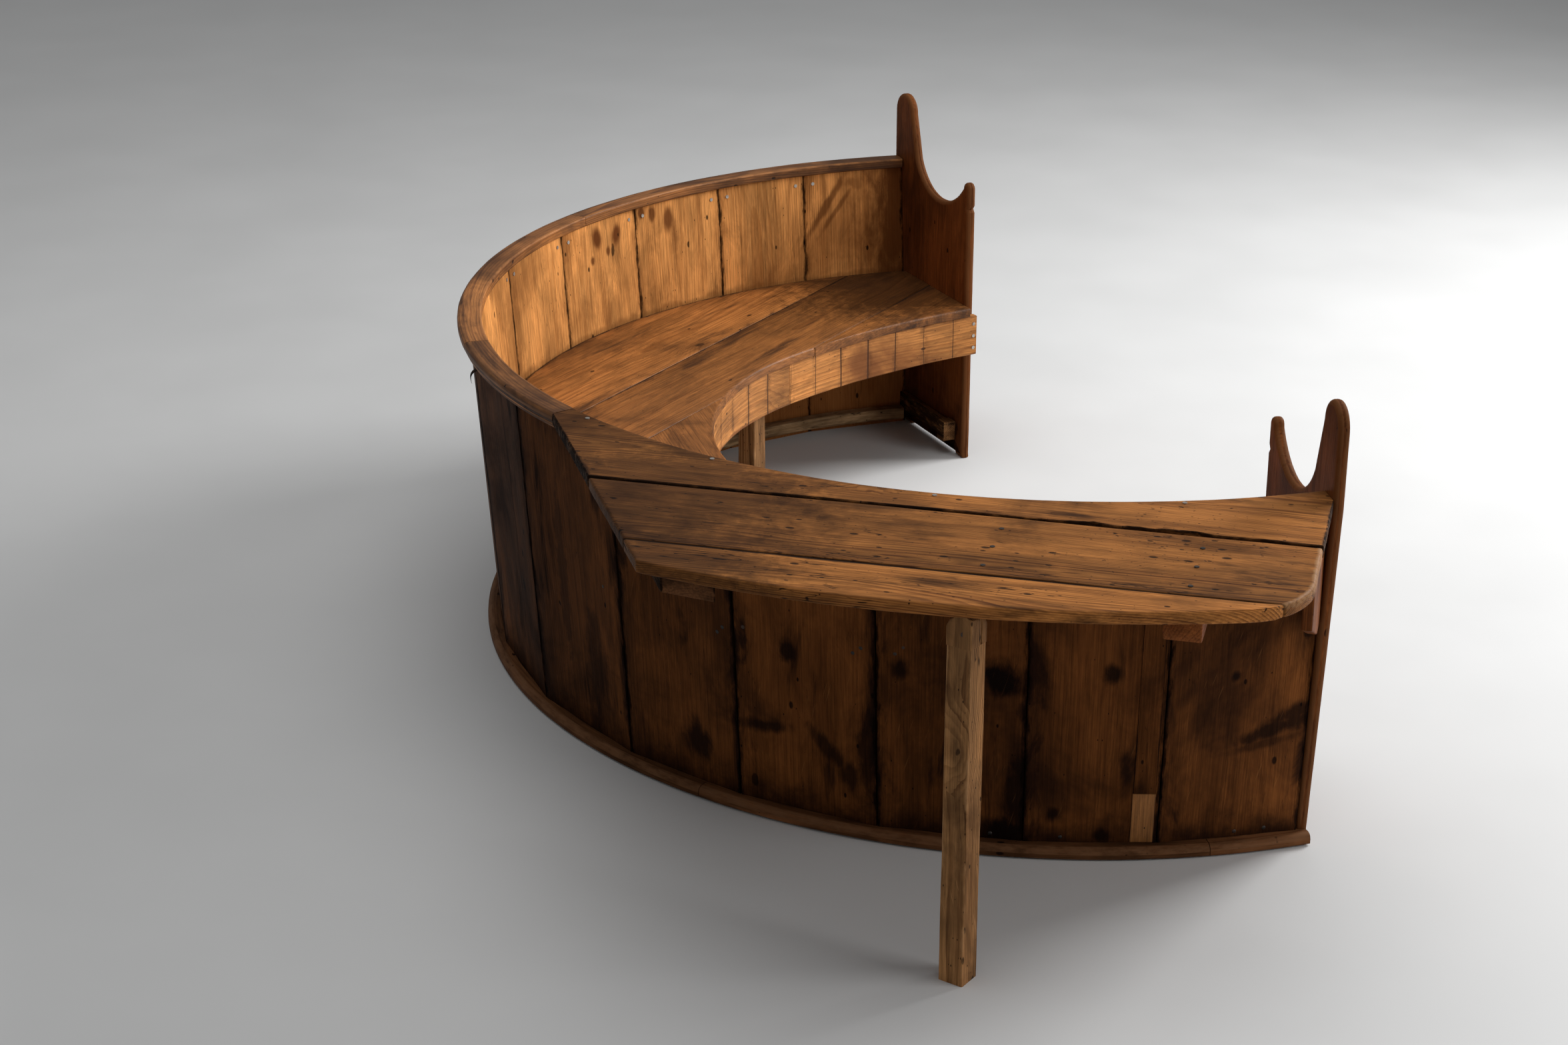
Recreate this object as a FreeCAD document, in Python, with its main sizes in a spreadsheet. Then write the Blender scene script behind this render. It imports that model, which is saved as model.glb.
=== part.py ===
import FreeCAD, Part
import Sketcher
import math
import os

# A semicircular settle of flat pine staves, with a drop leaf and a folding leg on its near arm.
# Millimetres, +Z up. The origin is on the floor at the centre of the back's circle,
# +Y points to the closed end of the curve and the near arm, with the table, is at -X.
# Plan angles are in degrees from +Y, counted towards -X.

Vector = FreeCAD.Vector
Rotation = FreeCAD.Rotation
Placement = FreeCAD.Placement

doc = FreeCAD.newDocument("settle")
sheet = doc.addObject("Spreadsheet::Sheet", "dims")
sizes = {}
pieces = []


def dim(alias, value):
    """Puts one size in the sheet under its alias and returns it."""
    cell = "A%d" % (len(sizes) + 1)
    sheet.set(cell, repr(float(value)))
    sheet.setAlias(cell, alias)
    sizes[alias] = float(value)
    return value


# Back
stave_count = 14
end_angle = dim("end_angle", 91.7)
stave_wander = dim("stave_wander_angle", 0.9)
wander_turn = dim("wander_turn_angle", 137.5)
stave_drift = dim("stave_drift_angle", 3.0)
back_top_radius = dim("back_top_radius", 1303.0)
back_setback = dim("back_setback", 47.0)
board_thickness = dim("board_thickness", 22.0)
table_height = dim("table_height", 740.0)
top_thickness = dim("top_thickness", 24.0)

# Cap rail along the top of the back, and the bead under it
cap_overhang = dim("cap_overhang", 6.0)
cap_width = dim("cap_width", 55.0)
cap_round = dim("cap_round", 10.0)
cap_end_angle = dim("cap_end_angle", 22.0)
cap_joint_angle = dim("cap_joint_angle", 46.0)
bead_width = dim("bead_width", 9.0)
bead_height = dim("bead_height", 12.0)

# Moulding along the foot of the back, and the sill inside it
plinth_width = dim("plinth_width", 20.0)
plinth_height = dim("plinth_height", 23.0)
plinth_lift = dim("plinth_lift", 3.0)
plinth_round = dim("plinth_round", 13.0)
plinth_joint_angle = dim("plinth_joint_angle", 38.0)
plinth_return_angle = dim("plinth_return_angle", 84.0)
sill_width = dim("sill_width", 36.0)
sill_height = dim("sill_height", 32.0)
sill_lift = dim("sill_lift", 20.0)

# End panels
panel_thickness = dim("panel_thickness", 22.0)
panel_reach = dim("panel_reach", 51.0)
panel_splay = dim("panel_splay", 9.0)
rear_foot = dim("rear_foot", 122.0)
front_foot = dim("front_foot", 40.0)
foot_slope = dim("foot_slope", 34.0)
arch_height = dim("arch_height", 42.0)
notch_depth = dim("notch_depth", 8.0)
notch_half = dim("notch_half", 8.0)
front_tip_height = dim("front_tip_height", 758.0)
front_tip_radius = dim("front_tip_radius", 17.0)
notch_drop = dim("notch_drop", 53.0)
scoop_depth = dim("scoop_depth", 63.0)
scoop_offset = dim("scoop_offset", 262.0)
horn_root = dim("horn_root", 131.0)
horn_root_rise = dim("horn_root_rise", 79.0)
horn_rise = dim("horn_rise", 160.0)
horn_radius = dim("horn_radius", 49.0)

# Battens and blocks on the inner faces of the panels
batten_width = dim("batten_width", 46.0)
batten_thickness = dim("batten_thickness", 18.0)
batten_start = dim("batten_start", 90.0)
foot_block_size = dim("foot_block_size", 38.0)
foot_block_height = dim("foot_block_height", 52.0)
bearer_start = dim("bearer_start", 80.0)
bearer_height = dim("bearer_height", 40.0)
bearer_thickness = dim("bearer_thickness", 24.0)
bearer_end_angle = dim("bearer_end_angle", 82.0)

# Seat and apron
seat_height = dim("seat_height", 430.0)
seat_thickness = dim("seat_thickness", 24.0)
outer_board_width = dim("outer_board_width", 318.0)
inner_board_width = dim("inner_board_width", 235.0)
seat_turn = dim("seat_turn", 45.0)
nosing = dim("nosing", 6.0)
seat_depth = dim("seat_depth", 518.0)
apron_turn_angle = dim("apron_turn_angle", 55.0)
flank_ease = dim("flank_ease", 995.0)
apron_thickness = dim("apron_thickness", 20.0)
apron_height = dim("apron_height", 108.0)
post_size = dim("post_size", 50.0)
post_angle = dim("post_angle", 48.0)

# Table: fixed board, drop leaf and their gaps
leaf_angle = dim("leaf_angle", 60.0)
hinge_reach = dim("hinge_reach", 81.0)
hinge_gap = dim("hinge_gap", 9.0)
leaf_reach = dim("leaf_reach", 504.0)
leaf_end_gap = dim("leaf_end_gap", 0.5)
middle_board_width = dim("middle_board_width", 274.0)
leaf_seam_gap = dim("leaf_seam_gap", 3.0)
leaf_corner_radius = dim("leaf_corner_radius", 165.0)
leaf_tip_radius = dim("leaf_tip_radius", 14.0)
cleat_thickness = dim("cleat_thickness", 36.0)
cleat_width = dim("cleat_width", 66.0)
cleat_end_distance = dim("cleat_end_distance", 204.0)
cleat_inset = dim("cleat_inset", 20.0)
cleat_bevel = dim("cleat_bevel", 22.0)
slant_cleat_width = dim("slant_cleat_width", 82.0)
slant_cleat_inset = dim("slant_cleat_inset", 40.0)
bracket_thickness = dim("bracket_thickness", 20.0)
bracket_height = dim("bracket_height", 235.0)
bracket_nose = dim("bracket_nose", 150.0)
bracket_setback = dim("bracket_setback", 20.0)
bracket_slope = dim("bracket_slope", 25.0)

# Hinges under the leaf
hinge_end_distance = dim("hinge_end_distance", 281.0)
hinge_cleat_distance = dim("hinge_cleat_distance", 34.0)
hinge_width = dim("hinge_width", 40.0)
knuckle_length = dim("knuckle_length", 16.0)
knuckle_radius = dim("knuckle_radius", 7.0)
strap_thickness = dim("strap_thickness", 3.0)
frame_strap = dim("frame_strap", 80.0)
leaf_strap = dim("leaf_strap", 180.0)
hinge_pin_radius = dim("hinge_pin_radius", 3.0)

# Leg and its pivot
leg_size = dim("leg_size", 50.0)
leg_twist = dim("leg_twist", 20.0)
leg_offset = dim("leg_offset", 150.0)
leg_inset = dim("leg_inset", 52.0)
leg_top_radius = dim("leg_top_radius", 33.0)
leg_top_clearance = dim("leg_top_clearance", 1.0)
pivot_radius = dim("pivot_radius", 5.0)
pivot_span = dim("pivot_span", 52.0)
lug_width = dim("lug_width", 42.0)
lug_thickness = dim("lug_thickness", 6.0)
lug_clearance = dim("lug_clearance", 4.0)
hanger_thickness = dim("hanger_thickness", 4.0)
hanger_width = dim("hanger_width", 56.0)
hanger_length = dim("hanger_length", 60.0)

# Nail heads, and fits
nail_radius = dim("nail_radius", 4.5)
nail_head = dim("nail_head", 1.5)
nail_inset = dim("nail_inset", 26.0)
nail_edge_angle = dim("nail_edge_angle", 3.0)
nail_spread_angle = dim("nail_spread_angle", 20.0)
apron_nail_shares = (0.2, 0.5, 0.8)
leaf_nail_shares = (0.15, 0.5, 0.85)
knuckle_clearance = dim("knuckle_clearance", 1.0)
fit_clearance = dim("fit_clearance", 0.05)
side_clearance = dim("side_clearance", 0.4)
touch_clearance = dim("touch_clearance", 0.2)


def on_circle(radius, angle, height=0.0):
    """Point at a plan angle and a radius from the centre of the back."""
    turn = math.radians(angle)
    return Vector(-radius * math.sin(turn), radius * math.cos(turn), height)


def turned(angle, base=Vector(0, 0, 0)):
    """Placement at a point, turned about the vertical."""
    return Placement(base, Rotation(Vector(0, 0, 1), angle))


def add(kind, name, placement=None, **bound):
    """Adds an object whose properties are bound to cells of the sheet."""
    made = doc.addObject(kind, name)
    for prop, expression in bound.items():
        made.setExpression(prop, expression)
    if placement is not None:
        made.Placement = placement
    return made


def box(name, length, width, height, placement):
    """Box with bound sizes, its low corner at the placement."""
    return add("Part::Box", name, placement, Length=length, Width=width, Height=height)


def cut(base, *tools):
    """Base with every tool taken away."""
    for tool in tools:
        result = doc.addObject("Part::Cut", base.Name + "_cut")
        result.Base = base
        result.Tool = tool
        base = result
    return base


def common(base, tool):
    """What two solids share."""
    result = doc.addObject("Part::Common", base.Name + "_common")
    result.Base = base
    result.Tool = tool
    return result


def fuse(*solids):
    """Several solids as one."""
    result = doc.addObject("Part::MultiFuse", solids[0].Name + "_fuse")
    result.Shapes = list(solids)
    return result


def group(name, solids):
    """Separate solids kept in one node."""
    result = doc.addObject("Part::Compound", name)
    result.Links = list(solids)
    return result


def piece(made, label):
    """Names a finished sub-part."""
    made.Label = label
    if made.Label != label:
        raise RuntimeError("the name %s is taken" % label)
    pieces.append(made)
    return made


def origin_plane(body, role):
    """One of the body's own origin planes."""
    return [f for f in body.Origin.OriginFeatures if f.Role == role][0]


def outline(body, corners, arcs):
    """Closed sketch on the body's XZ plane.

    Each corner is a pair of sheet aliases, or None on an axis. An edge that is an arc is listed
    by its number with its radius's alias and +1 where it turns left, -1 where it turns right.
    """
    sketch = body.newObject("Sketcher::SketchObject", body.Name + "_outline")
    sketch.AttachmentSupport = (origin_plane(body, "XZ_Plane"), [""])
    sketch.MapMode = "FlatFace"
    at = [Vector(sizes.get(x, 0.0), sizes.get(y, 0.0), 0) for x, y in corners]
    ends = []
    for i, start in enumerate(at):
        stop = at[(i + 1) % len(at)]
        if i not in arcs:
            geo = sketch.addGeometry(Part.LineSegment(start, stop), False)
            ends.append((geo, 1, 2))
            continue
        alias, turn = arcs[i]
        half = (stop - start) * 0.5
        rise = math.sqrt(max(sizes[alias] ** 2 - half.Length ** 2, 0.0))
        side = Vector(-half.y, half.x, 0).normalize() * (rise * turn)
        centre = start + half + side
        first, last = (start, stop) if turn > 0 else (stop, start)
        spread = [math.atan2(p.y - centre.y, p.x - centre.x) for p in (first, last)]
        circle = Part.Circle(centre, Vector(0, 0, 1), sizes[alias])
        geo = sketch.addGeometry(Part.ArcOfCircle(circle, spread[0], spread[1]), False)
        ends.append((geo, 1, 2) if turn > 0 else (geo, 2, 1))
        index = sketch.addConstraint(Sketcher.Constraint("Radius", geo, sizes[alias]))
        sketch.setExpression("Constraints[%d]" % index, "dims." + alias)
    for i, (geo, start_end, stop_end) in enumerate(ends):
        following = ends[(i + 1) % len(ends)]
        sketch.addConstraint(Sketcher.Constraint("Coincident", geo, stop_end, following[0], following[1]))
        for axis, rule, alias in zip((-2, -1), ("DistanceX", "DistanceY"), corners[i]):
            if alias is None:
                sketch.addConstraint(Sketcher.Constraint("PointOnObject", geo, start_end, axis))
                continue
            index = sketch.addConstraint(Sketcher.Constraint(rule, -1, 1, geo, start_end, sizes[alias]))
            sketch.setExpression("Constraints[%d]" % index, "dims." + alias)
    return sketch


def revolved(name, corners, arcs, span, start_angle):
    """Moulded ring: a profile carried round the centre of the back, over a span in degrees."""
    body = doc.addObject("PartDesign::Body", name)
    sketch = outline(body, corners, arcs)
    turn = body.newObject("PartDesign::Revolution", name + "_turn")
    turn.Profile = sketch
    turn.ReferenceAxis = (sketch, ["V_Axis"])
    turn.setExpression("Angle", span)
    body.Placement = turned(start_angle + 90.0)
    return body


def sector(name, radius, height, span, placement):
    """Part of a cylinder over a span in degrees, counted from the placement's +X."""
    return add("Part::Cylinder", name, placement, Radius=radius, Height=height, Angle=span)


# Sizes that follow from the driving ones
back_floor_radius = dim("back_floor_radius", back_top_radius - back_setback)
panel_rear_radius = back_top_radius + panel_reach
cap_inner_radius = dim("cap_inner_radius", back_top_radius - cap_overhang)
seat_seam_outer = dim("seat_seam_outer", back_top_radius - outer_board_width)
seat_seam_inner = dim("seat_seam_inner", seat_seam_outer - inner_board_width)
apron_radius = dim("apron_radius", back_top_radius - seat_depth)
flank_radius = dim("flank_radius", apron_radius + flank_ease)
hinge_distance = dim("hinge_distance", back_top_radius + hinge_reach)
leaf_radius = dim("leaf_radius", back_top_radius + leaf_reach)
leaf_seam = dim("leaf_seam", hinge_distance + middle_board_width)
leg_distance = leaf_radius - leg_inset
near_end_turn = math.radians(end_angle - leaf_angle)
leaf_near_end = dim("leaf_near_end", panel_rear_radius * math.sin(near_end_turn) - leaf_end_gap)
cleat_offset = leaf_near_end - cleat_end_distance
trim_reach = dim("trim_reach", 2.0 * leaf_radius)
table_underside = dim("table_underside", table_height - top_thickness)
cap_outer_radius = dim("cap_outer_radius", cap_inner_radius + cap_width)
cap_flat_radius = dim("cap_flat_radius", cap_outer_radius - cap_round)
cap_low_side = dim("cap_low_side", table_underside + cap_round)
cap_high_side = dim("cap_high_side", table_height - cap_round)
seat_underside = dim("seat_underside", seat_height - seat_thickness)
apron_foot = dim("apron_foot", seat_underside - apron_height)
stave_step = 2.0 * end_angle / stave_count


def stave_angle(i):
    """Plan angle that a stave's face looks along; widths differ a little and grow to the closed end."""
    share = (i + 0.5) / stave_count
    wander = stave_wander * math.sin(math.radians(wander_turn * i))
    drift = stave_drift * math.sin(2.0 * math.pi * share)
    return -end_angle + share * 2.0 * end_angle + wander - drift


def half_angles(i):
    """Half widths of a stave, as angles to its two seams; the end staves run on past the panels."""
    before = (stave_angle(i) - stave_angle(i - 1)) / 2.0 if i > 0 else stave_step
    after = (stave_angle(i + 1) - stave_angle(i)) / 2.0 if i < stave_count - 1 else stave_step
    return before, after


widest_half = max(max(half_angles(i)) for i in range(1, stave_count - 1))


def inner_radius(height):
    """Distance from the centre of the back to the middle of a stave's inner face."""
    return back_floor_radius + (back_top_radius - back_floor_radius) * height / table_underside


def corner_radius(height):
    """Radius that clears the outer corners of the staves at a height."""
    widest = math.cos(math.radians(widest_half))
    return (inner_radius(height) + board_thickness) / widest + touch_clearance


plinth_top = dim("plinth_top", plinth_lift + plinth_height)
plinth_inner = dim("plinth_inner", corner_radius(plinth_top))

# Panel frames: the near panel looks along +X to its front edge, the far one along -X
near_frame = turned(-panel_splay, on_circle(panel_rear_radius, end_angle))
far_frame = turned(180.0 + panel_splay, on_circle(panel_rear_radius, -end_angle))


def flank_centre(side):
    """Centre of the apron's wide end curve, in line with the turning point of its middle curve."""
    return on_circle(apron_radius - flank_radius, side * apron_turn_angle)


def reach(depth, centre, radius):
    """Distance along the near panel, at a depth below its inner face, to a circle in plan."""
    start = near_frame.multVec(Vector(0, -depth, 0)) - centre
    along = near_frame.Rotation.multVec(Vector(1, 0, 0))
    half = start.dot(along)
    gap = start.dot(start) - radius ** 2
    return -half - math.sqrt(half * half - gap)


apron_back = flank_radius + apron_thickness
apron_reach = [reach(depth, flank_centre(1), apron_back) for depth in (0.0, panel_thickness)]
panel_width = dim("panel_width", min(apron_reach) - touch_clearance)
dim("rear_setback", reach(panel_thickness, Vector(), plinth_inner - touch_clearance))
dim("arch_rear", rear_foot + foot_slope)
dim("arch_front", panel_width - front_foot - foot_slope)
dim("front_foot_start", panel_width - front_foot)
tip_side = dim("tip_side", front_tip_height - front_tip_radius)
notch_height = dim("notch_height", tip_side - notch_drop)
dim("notch_low", notch_height - notch_half)
dim("notch_high", notch_height + notch_half)
dim("notch_bottom", panel_width - notch_depth)
dim("tip_middle", panel_width - front_tip_radius)
tip_back = dim("tip_back", panel_width - 2.0 * front_tip_radius)
scoop_height = dim("scoop_height", tip_side - scoop_depth)
horn_root_height = dim("horn_root_height", scoop_height + horn_root_rise)
horn_height = dim("horn_height", horn_root_height + horn_rise)
dim("horn_side", horn_height - horn_radius)
dim("horn_front", 2.0 * horn_radius)


def scoop_radius(across, up):
    """Radius of an arc that leaves the scoop's lowest point level and passes a point beyond it."""
    return (across * across + up * up) / (2.0 * up)


dim("scoop_front_radius", scoop_radius(tip_back - scoop_offset, scoop_depth))
dim("scoop_rear_radius", scoop_radius(scoop_offset - horn_root, horn_root_rise))


def end_panel(name, frame, outward):
    """End board with two horns, a scoop, a notched front, an arched foot and a leaning rear edge."""
    corners = [
        ("rear_setback", None), ("rear_foot", None), ("arch_rear", "arch_height"),
        ("arch_front", "arch_height"), ("front_foot_start", None), ("panel_width", None),
        ("panel_width", "notch_low"), ("notch_bottom", "notch_height"), ("panel_width", "notch_high"),
        ("panel_width", "tip_side"), ("tip_middle", "front_tip_height"), ("tip_back", "tip_side"),
        ("scoop_offset", "scoop_height"), ("horn_root", "horn_root_height"), ("horn_front", "horn_side"),
        ("horn_radius", "horn_height"), (None, "horn_side"), (None, "table_underside"),
        ("rear_setback", "plinth_top"),
    ]
    arcs = {
        9: ("front_tip_radius", 1), 10: ("front_tip_radius", 1),
        11: ("scoop_front_radius", -1), 12: ("scoop_rear_radius", -1),
        14: ("horn_radius", 1), 15: ("horn_radius", 1),
    }
    body = doc.addObject("PartDesign::Body", name)
    pad = body.newObject("PartDesign::Pad", name + "_pad")
    pad.Profile = outline(body, corners, arcs)
    body.Tip = pad
    pad.setExpression("Length", "dims.panel_thickness")
    pad.Reversed = outward > 0
    body.Placement = frame
    return piece(body, name)


def beyond(name, frame, side, depth):
    """Everything on the outer side of a panel's inner face, or of a plane at a depth below it."""
    low = -trim_reach - depth if side > 0 else depth
    tool = doc.addObject("Part::Box", name)
    tool.Length = 2.0 * trim_reach
    tool.Width = trim_reach
    tool.Height = trim_reach
    tool.Placement = frame.multiply(Placement(Vector(-trim_reach, low, -trim_reach / 2.0), Rotation()))
    return tool


past_near = beyond("past_near_panel", near_frame, 1, 0.0)
past_far = beyond("past_far_panel", far_frame, -1, 0.0)
outside_near = beyond("outside_near_panel", near_frame, 1, panel_thickness)
outside_far = beyond("outside_far_panel", far_frame, -1, panel_thickness)

end_panel("near_end_panel", near_frame, -1)
end_panel("far_end_panel", far_frame, 1)

# Staves: tapered boards leaning out, each tangent to the back's inner circle
stave_upright = Rotation(Vector(-1, 0, 0), Vector(0, 0, 1), Vector(0, 1, 0), "XYZ")


def stave_frame(i):
    """Placement of a stave: X along its width, Y up and Z outwards."""
    return Placement(Vector(), Rotation(Vector(0, 0, 1), stave_angle(i)).multiply(stave_upright))


def stave(i, inward="0"):
    """Tapered board between its two seams; inward thickens it towards the centre."""
    before, after = half_angles(i)
    return add(
        "Part::Wedge", "stave", stave_frame(i),
        Xmin="-dims.back_floor_radius * tan(%r)" % before,
        Xmax="dims.back_floor_radius * tan(%r)" % after,
        X2min="-dims.back_top_radius * tan(%r)" % before,
        X2max="dims.back_top_radius * tan(%r)" % after,
        Ymin="0", Ymax="dims.table_underside",
        Zmin="dims.back_floor_radius - " + inward,
        Zmax="dims.back_floor_radius + dims.board_thickness",
        Z2min="dims.back_top_radius - " + inward,
        Z2max="dims.back_top_radius + dims.board_thickness",
    )


for i in range(stave_count):
    board = stave(i)
    if i == 0:
        board = cut(board, past_far)
    if i == stave_count - 1:
        board = cut(board, past_near)
    piece(board, "back_stave_%02d" % (i + 1))

# Cap rail in three lengths, with a rounded outer edge
cap_corners = [
    ("cap_inner_radius", "table_underside"), ("cap_flat_radius", "table_underside"),
    ("cap_outer_radius", "cap_low_side"), ("cap_outer_radius", "cap_high_side"),
    ("cap_flat_radius", "table_height"), ("cap_inner_radius", "table_height"),
]
cap_arcs = {1: ("cap_round", 1), 3: ("cap_round", 1)}
far_run = end_angle + panel_splay
dim("cap_far_span", far_run - cap_joint_angle)
cap_far = revolved("cap_far", cap_corners, cap_arcs, "dims.cap_far_span", -far_run)
cap_middle = revolved("cap_middle", cap_corners, cap_arcs, "dims.cap_joint_angle", -cap_joint_angle)
cap_near = revolved("cap_near", cap_corners, cap_arcs, "dims.cap_end_angle", 0.0)
piece(cut(cap_far, past_far), "cap_rail_far")
piece(cap_middle, "cap_rail_middle")
piece(cap_near, "cap_rail_near")

# Bead under the cap, outside
bead_inner = dim("bead_inner", corner_radius(table_underside))
dim("bead_outer", bead_inner + bead_width)
bead_foot = dim("bead_foot", table_underside - bead_height)
dim("bead_bend", bead_foot + bead_width)
dim("bead_span", far_run + cap_end_angle)
bead_corners = [
    ("bead_inner", "bead_foot"), ("bead_outer", "bead_bend"),
    ("bead_outer", "table_underside"), ("bead_inner", "table_underside"),
]
bead = revolved("bead", bead_corners, {0: ("bead_width", 1)}, "dims.bead_span", -far_run)
piece(cut(bead, past_far), "cap_bead")

# Plinth moulding in four lengths, rounded on its upper outer edge
plinth_outer = dim("plinth_outer", plinth_inner + plinth_width)
dim("plinth_shoulder", plinth_outer - plinth_round)
dim("plinth_side", plinth_top - plinth_round)
plinth_corners = [
    ("plinth_inner", "plinth_lift"), ("plinth_outer", "plinth_lift"), ("plinth_outer", "plinth_side"),
    ("plinth_shoulder", "plinth_top"), ("plinth_inner", "plinth_top"),
]
plinth_arcs = {2: ("plinth_round", 1)}
dim("plinth_end_span", far_run - plinth_joint_angle)
dim("plinth_middle_span", 2.0 * plinth_joint_angle)
dim("plinth_near_span", plinth_return_angle - plinth_joint_angle)
dim("plinth_return_span", far_run - plinth_return_angle)
plinth_far = revolved("plinth_far_run", plinth_corners, plinth_arcs, "dims.plinth_end_span", -far_run)
plinth_middle = revolved(
    "plinth_middle", plinth_corners, plinth_arcs, "dims.plinth_middle_span", -plinth_joint_angle)
plinth_near = revolved(
    "plinth_near", plinth_corners, plinth_arcs, "dims.plinth_near_span", plinth_joint_angle)
plinth_return = revolved(
    "plinth_return_run", plinth_corners, plinth_arcs, "dims.plinth_return_span", plinth_return_angle)
piece(cut(plinth_far, outside_far), "plinth_far")
piece(plinth_middle, "plinth_middle")
piece(plinth_near, "plinth_near")
piece(cut(plinth_return, outside_near), "plinth_return")


def inside_ring(name, low, width, height, span, start_angle):
    """Curved rail that lies against the inner faces of the staves."""
    outer = inner_radius(low) - touch_clearance
    dim(name + "_outer", outer)
    frame = turned(start_angle + 90.0, Vector(0, 0, low))
    body = sector(name, "dims.%s_outer" % name, height, span, frame)
    bore = sector(name + "_bore", "dims.%s_outer - %s" % (name, width), height, span, frame)
    return cut(body, bore)


# Sill at the floor and bearer under the seat, each in two lengths that meet at the closed end.
# The sill runs up to the foot batten on each panel.
dim("sill_span", far_run)
batten_face = batten_thickness + touch_clearance
before_near = beyond("before_near_batten", near_frame, 1, -batten_face)
before_far = beyond("before_far_batten", far_frame, -1, -batten_face)
for side, start, past_batten in (("far", -1.0, before_far), ("near", 0.0, before_near)):
    sill = inside_ring("sill_" + side, sill_lift, "dims.sill_width", "dims.sill_height",
                       "dims.sill_span", start * far_run)
    piece(cut(sill, past_batten), "inner_sill_" + side)
    bearer = inside_ring("bearer_" + side, seat_underside - bearer_height, "dims.bearer_thickness",
                         "dims.bearer_height", "dims.bearer_end_angle", start * bearer_end_angle)
    piece(bearer, "seat_bearer_" + side)


def on_panel(name, frame, side, start, low, length, thickness, height):
    """Batten or block on the inner face of a panel, with bound sizes."""
    into = 0.0 if side > 0 else -sizes[thickness]
    place = frame.multiply(Placement(Vector(start, into, low), Rotation()))
    return box(name, length, "dims." + thickness, "dims." + height, place)


batten_length = dim("batten_length", panel_width - front_foot - foot_block_size - batten_start)
dim("bearer_length", panel_width - front_foot - bearer_start)
blocks = []
for side, name, frame in ((1, "near", near_frame), (-1, "far", far_frame)):
    batten = on_panel("foot_batten", frame, side, batten_start, arch_height,
                      "dims.batten_length", "batten_thickness", "batten_width")
    piece(batten, "foot_batten_" + name)
    bearer = on_panel("arm_bearer", frame, side, bearer_start, seat_underside - bearer_height,
                      "dims.bearer_length", "bearer_thickness", "bearer_height")
    piece(bearer, "arm_bearer_" + name)
    blocks.append(on_panel("foot_block", frame, side, batten_start + batten_length, arch_height,
                           "dims.foot_block_size", "foot_block_size", "foot_block_height"))
piece(group("foot_block_pair", blocks), "foot_blocks")

# Seat boards: in each half an outer board along the back and an inner board parallel to it
seat_radius = dim("seat_radius", inner_radius(seat_underside) - touch_clearance)
seat_level = Vector(0, 0, seat_underside)


def seat_disc():
    """Round slab of the seat's outer edge."""
    return sector("seat_disc", "dims.seat_radius", "dims.seat_thickness", "360",
                  Placement(seat_level, Rotation()))


def seat_bay():
    """Space inside the middle curve of the seat's front edge."""
    return sector("bay_middle", "dims.apron_radius - dims.nosing", "dims.seat_thickness", "360",
                  Placement(seat_level, Rotation()))


def flank_frame(side, level):
    """Placement of a quarter disc about the wide curve's centre, from the turning point to the panel."""
    start = apron_turn_angle if side > 0 else -apron_turn_angle - 90.0
    return turned(start + 90.0, flank_centre(side) + level)


def seat_strip(side, low, high):
    """Straight strip of a half of the seat, square to its own direction, between two distances."""
    frame = turned(side * seat_turn, seat_level)
    frame = frame.multiply(Placement(Vector(-trim_reach / 2.0, sizes[low], 0), Rotation()))
    width = "dims.%s - dims.%s" % (high, low)
    return box("seat_strip", "dims.trim_reach", width, "dims.seat_thickness", frame)


def half_plane(side):
    """Everything on the other half of the settle, past its middle plane."""
    tool = doc.addObject("Part::Box", "other_half")
    tool.Length = trim_reach
    tool.Width = 2.0 * trim_reach
    tool.Height = trim_reach
    low = 0.0 if side > 0 else -trim_reach
    tool.Placement = Placement(Vector(low, -trim_reach, -trim_reach / 2.0), Rotation())
    return tool


def before_seam(side, towards_panel):
    """Slab on the front side of a half's inner seam, on the panel's side or the closed end's side."""
    low = -trim_reach if (side > 0) == towards_panel else 0.0
    frame = turned(side * seat_turn, seat_level).multiply(Placement(Vector(low, 0, 0), Rotation()))
    return box("before_seam", "dims.trim_reach", "dims.seat_seam_inner", "dims.seat_thickness", frame)


# The front edge follows the middle curve up to the apron's turning point and the wide curve beyond it
for side, name, past_panel in ((1, "near", past_near), (-1, "far", past_far)):
    outer = common(seat_disc(), seat_strip(side, "seat_seam_outer", "seat_radius"))
    piece(outer, "seat_outer_board_" + name)
    flank_bay = sector("flank_bay", "dims.flank_radius - dims.nosing", "dims.seat_thickness", "90",
                       flank_frame(side, seat_level))
    inner = common(seat_disc(), seat_strip(side, "seat_seam_inner", "seat_seam_outer"))
    piece(cut(inner, half_plane(side), past_panel, seat_bay(), flank_bay), "seat_inner_board_" + name)
    arm = common(seat_disc(), before_seam(side, True))
    piece(cut(arm, past_panel, seat_bay(), flank_bay), "seat_arm_board_" + name)

# Corner board of the seat at the closed end, between the two inner boards and the front curve
corner = common(before_seam(1, False), before_seam(-1, False))
piece(cut(corner, seat_bay()), "seat_corner_board")

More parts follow.
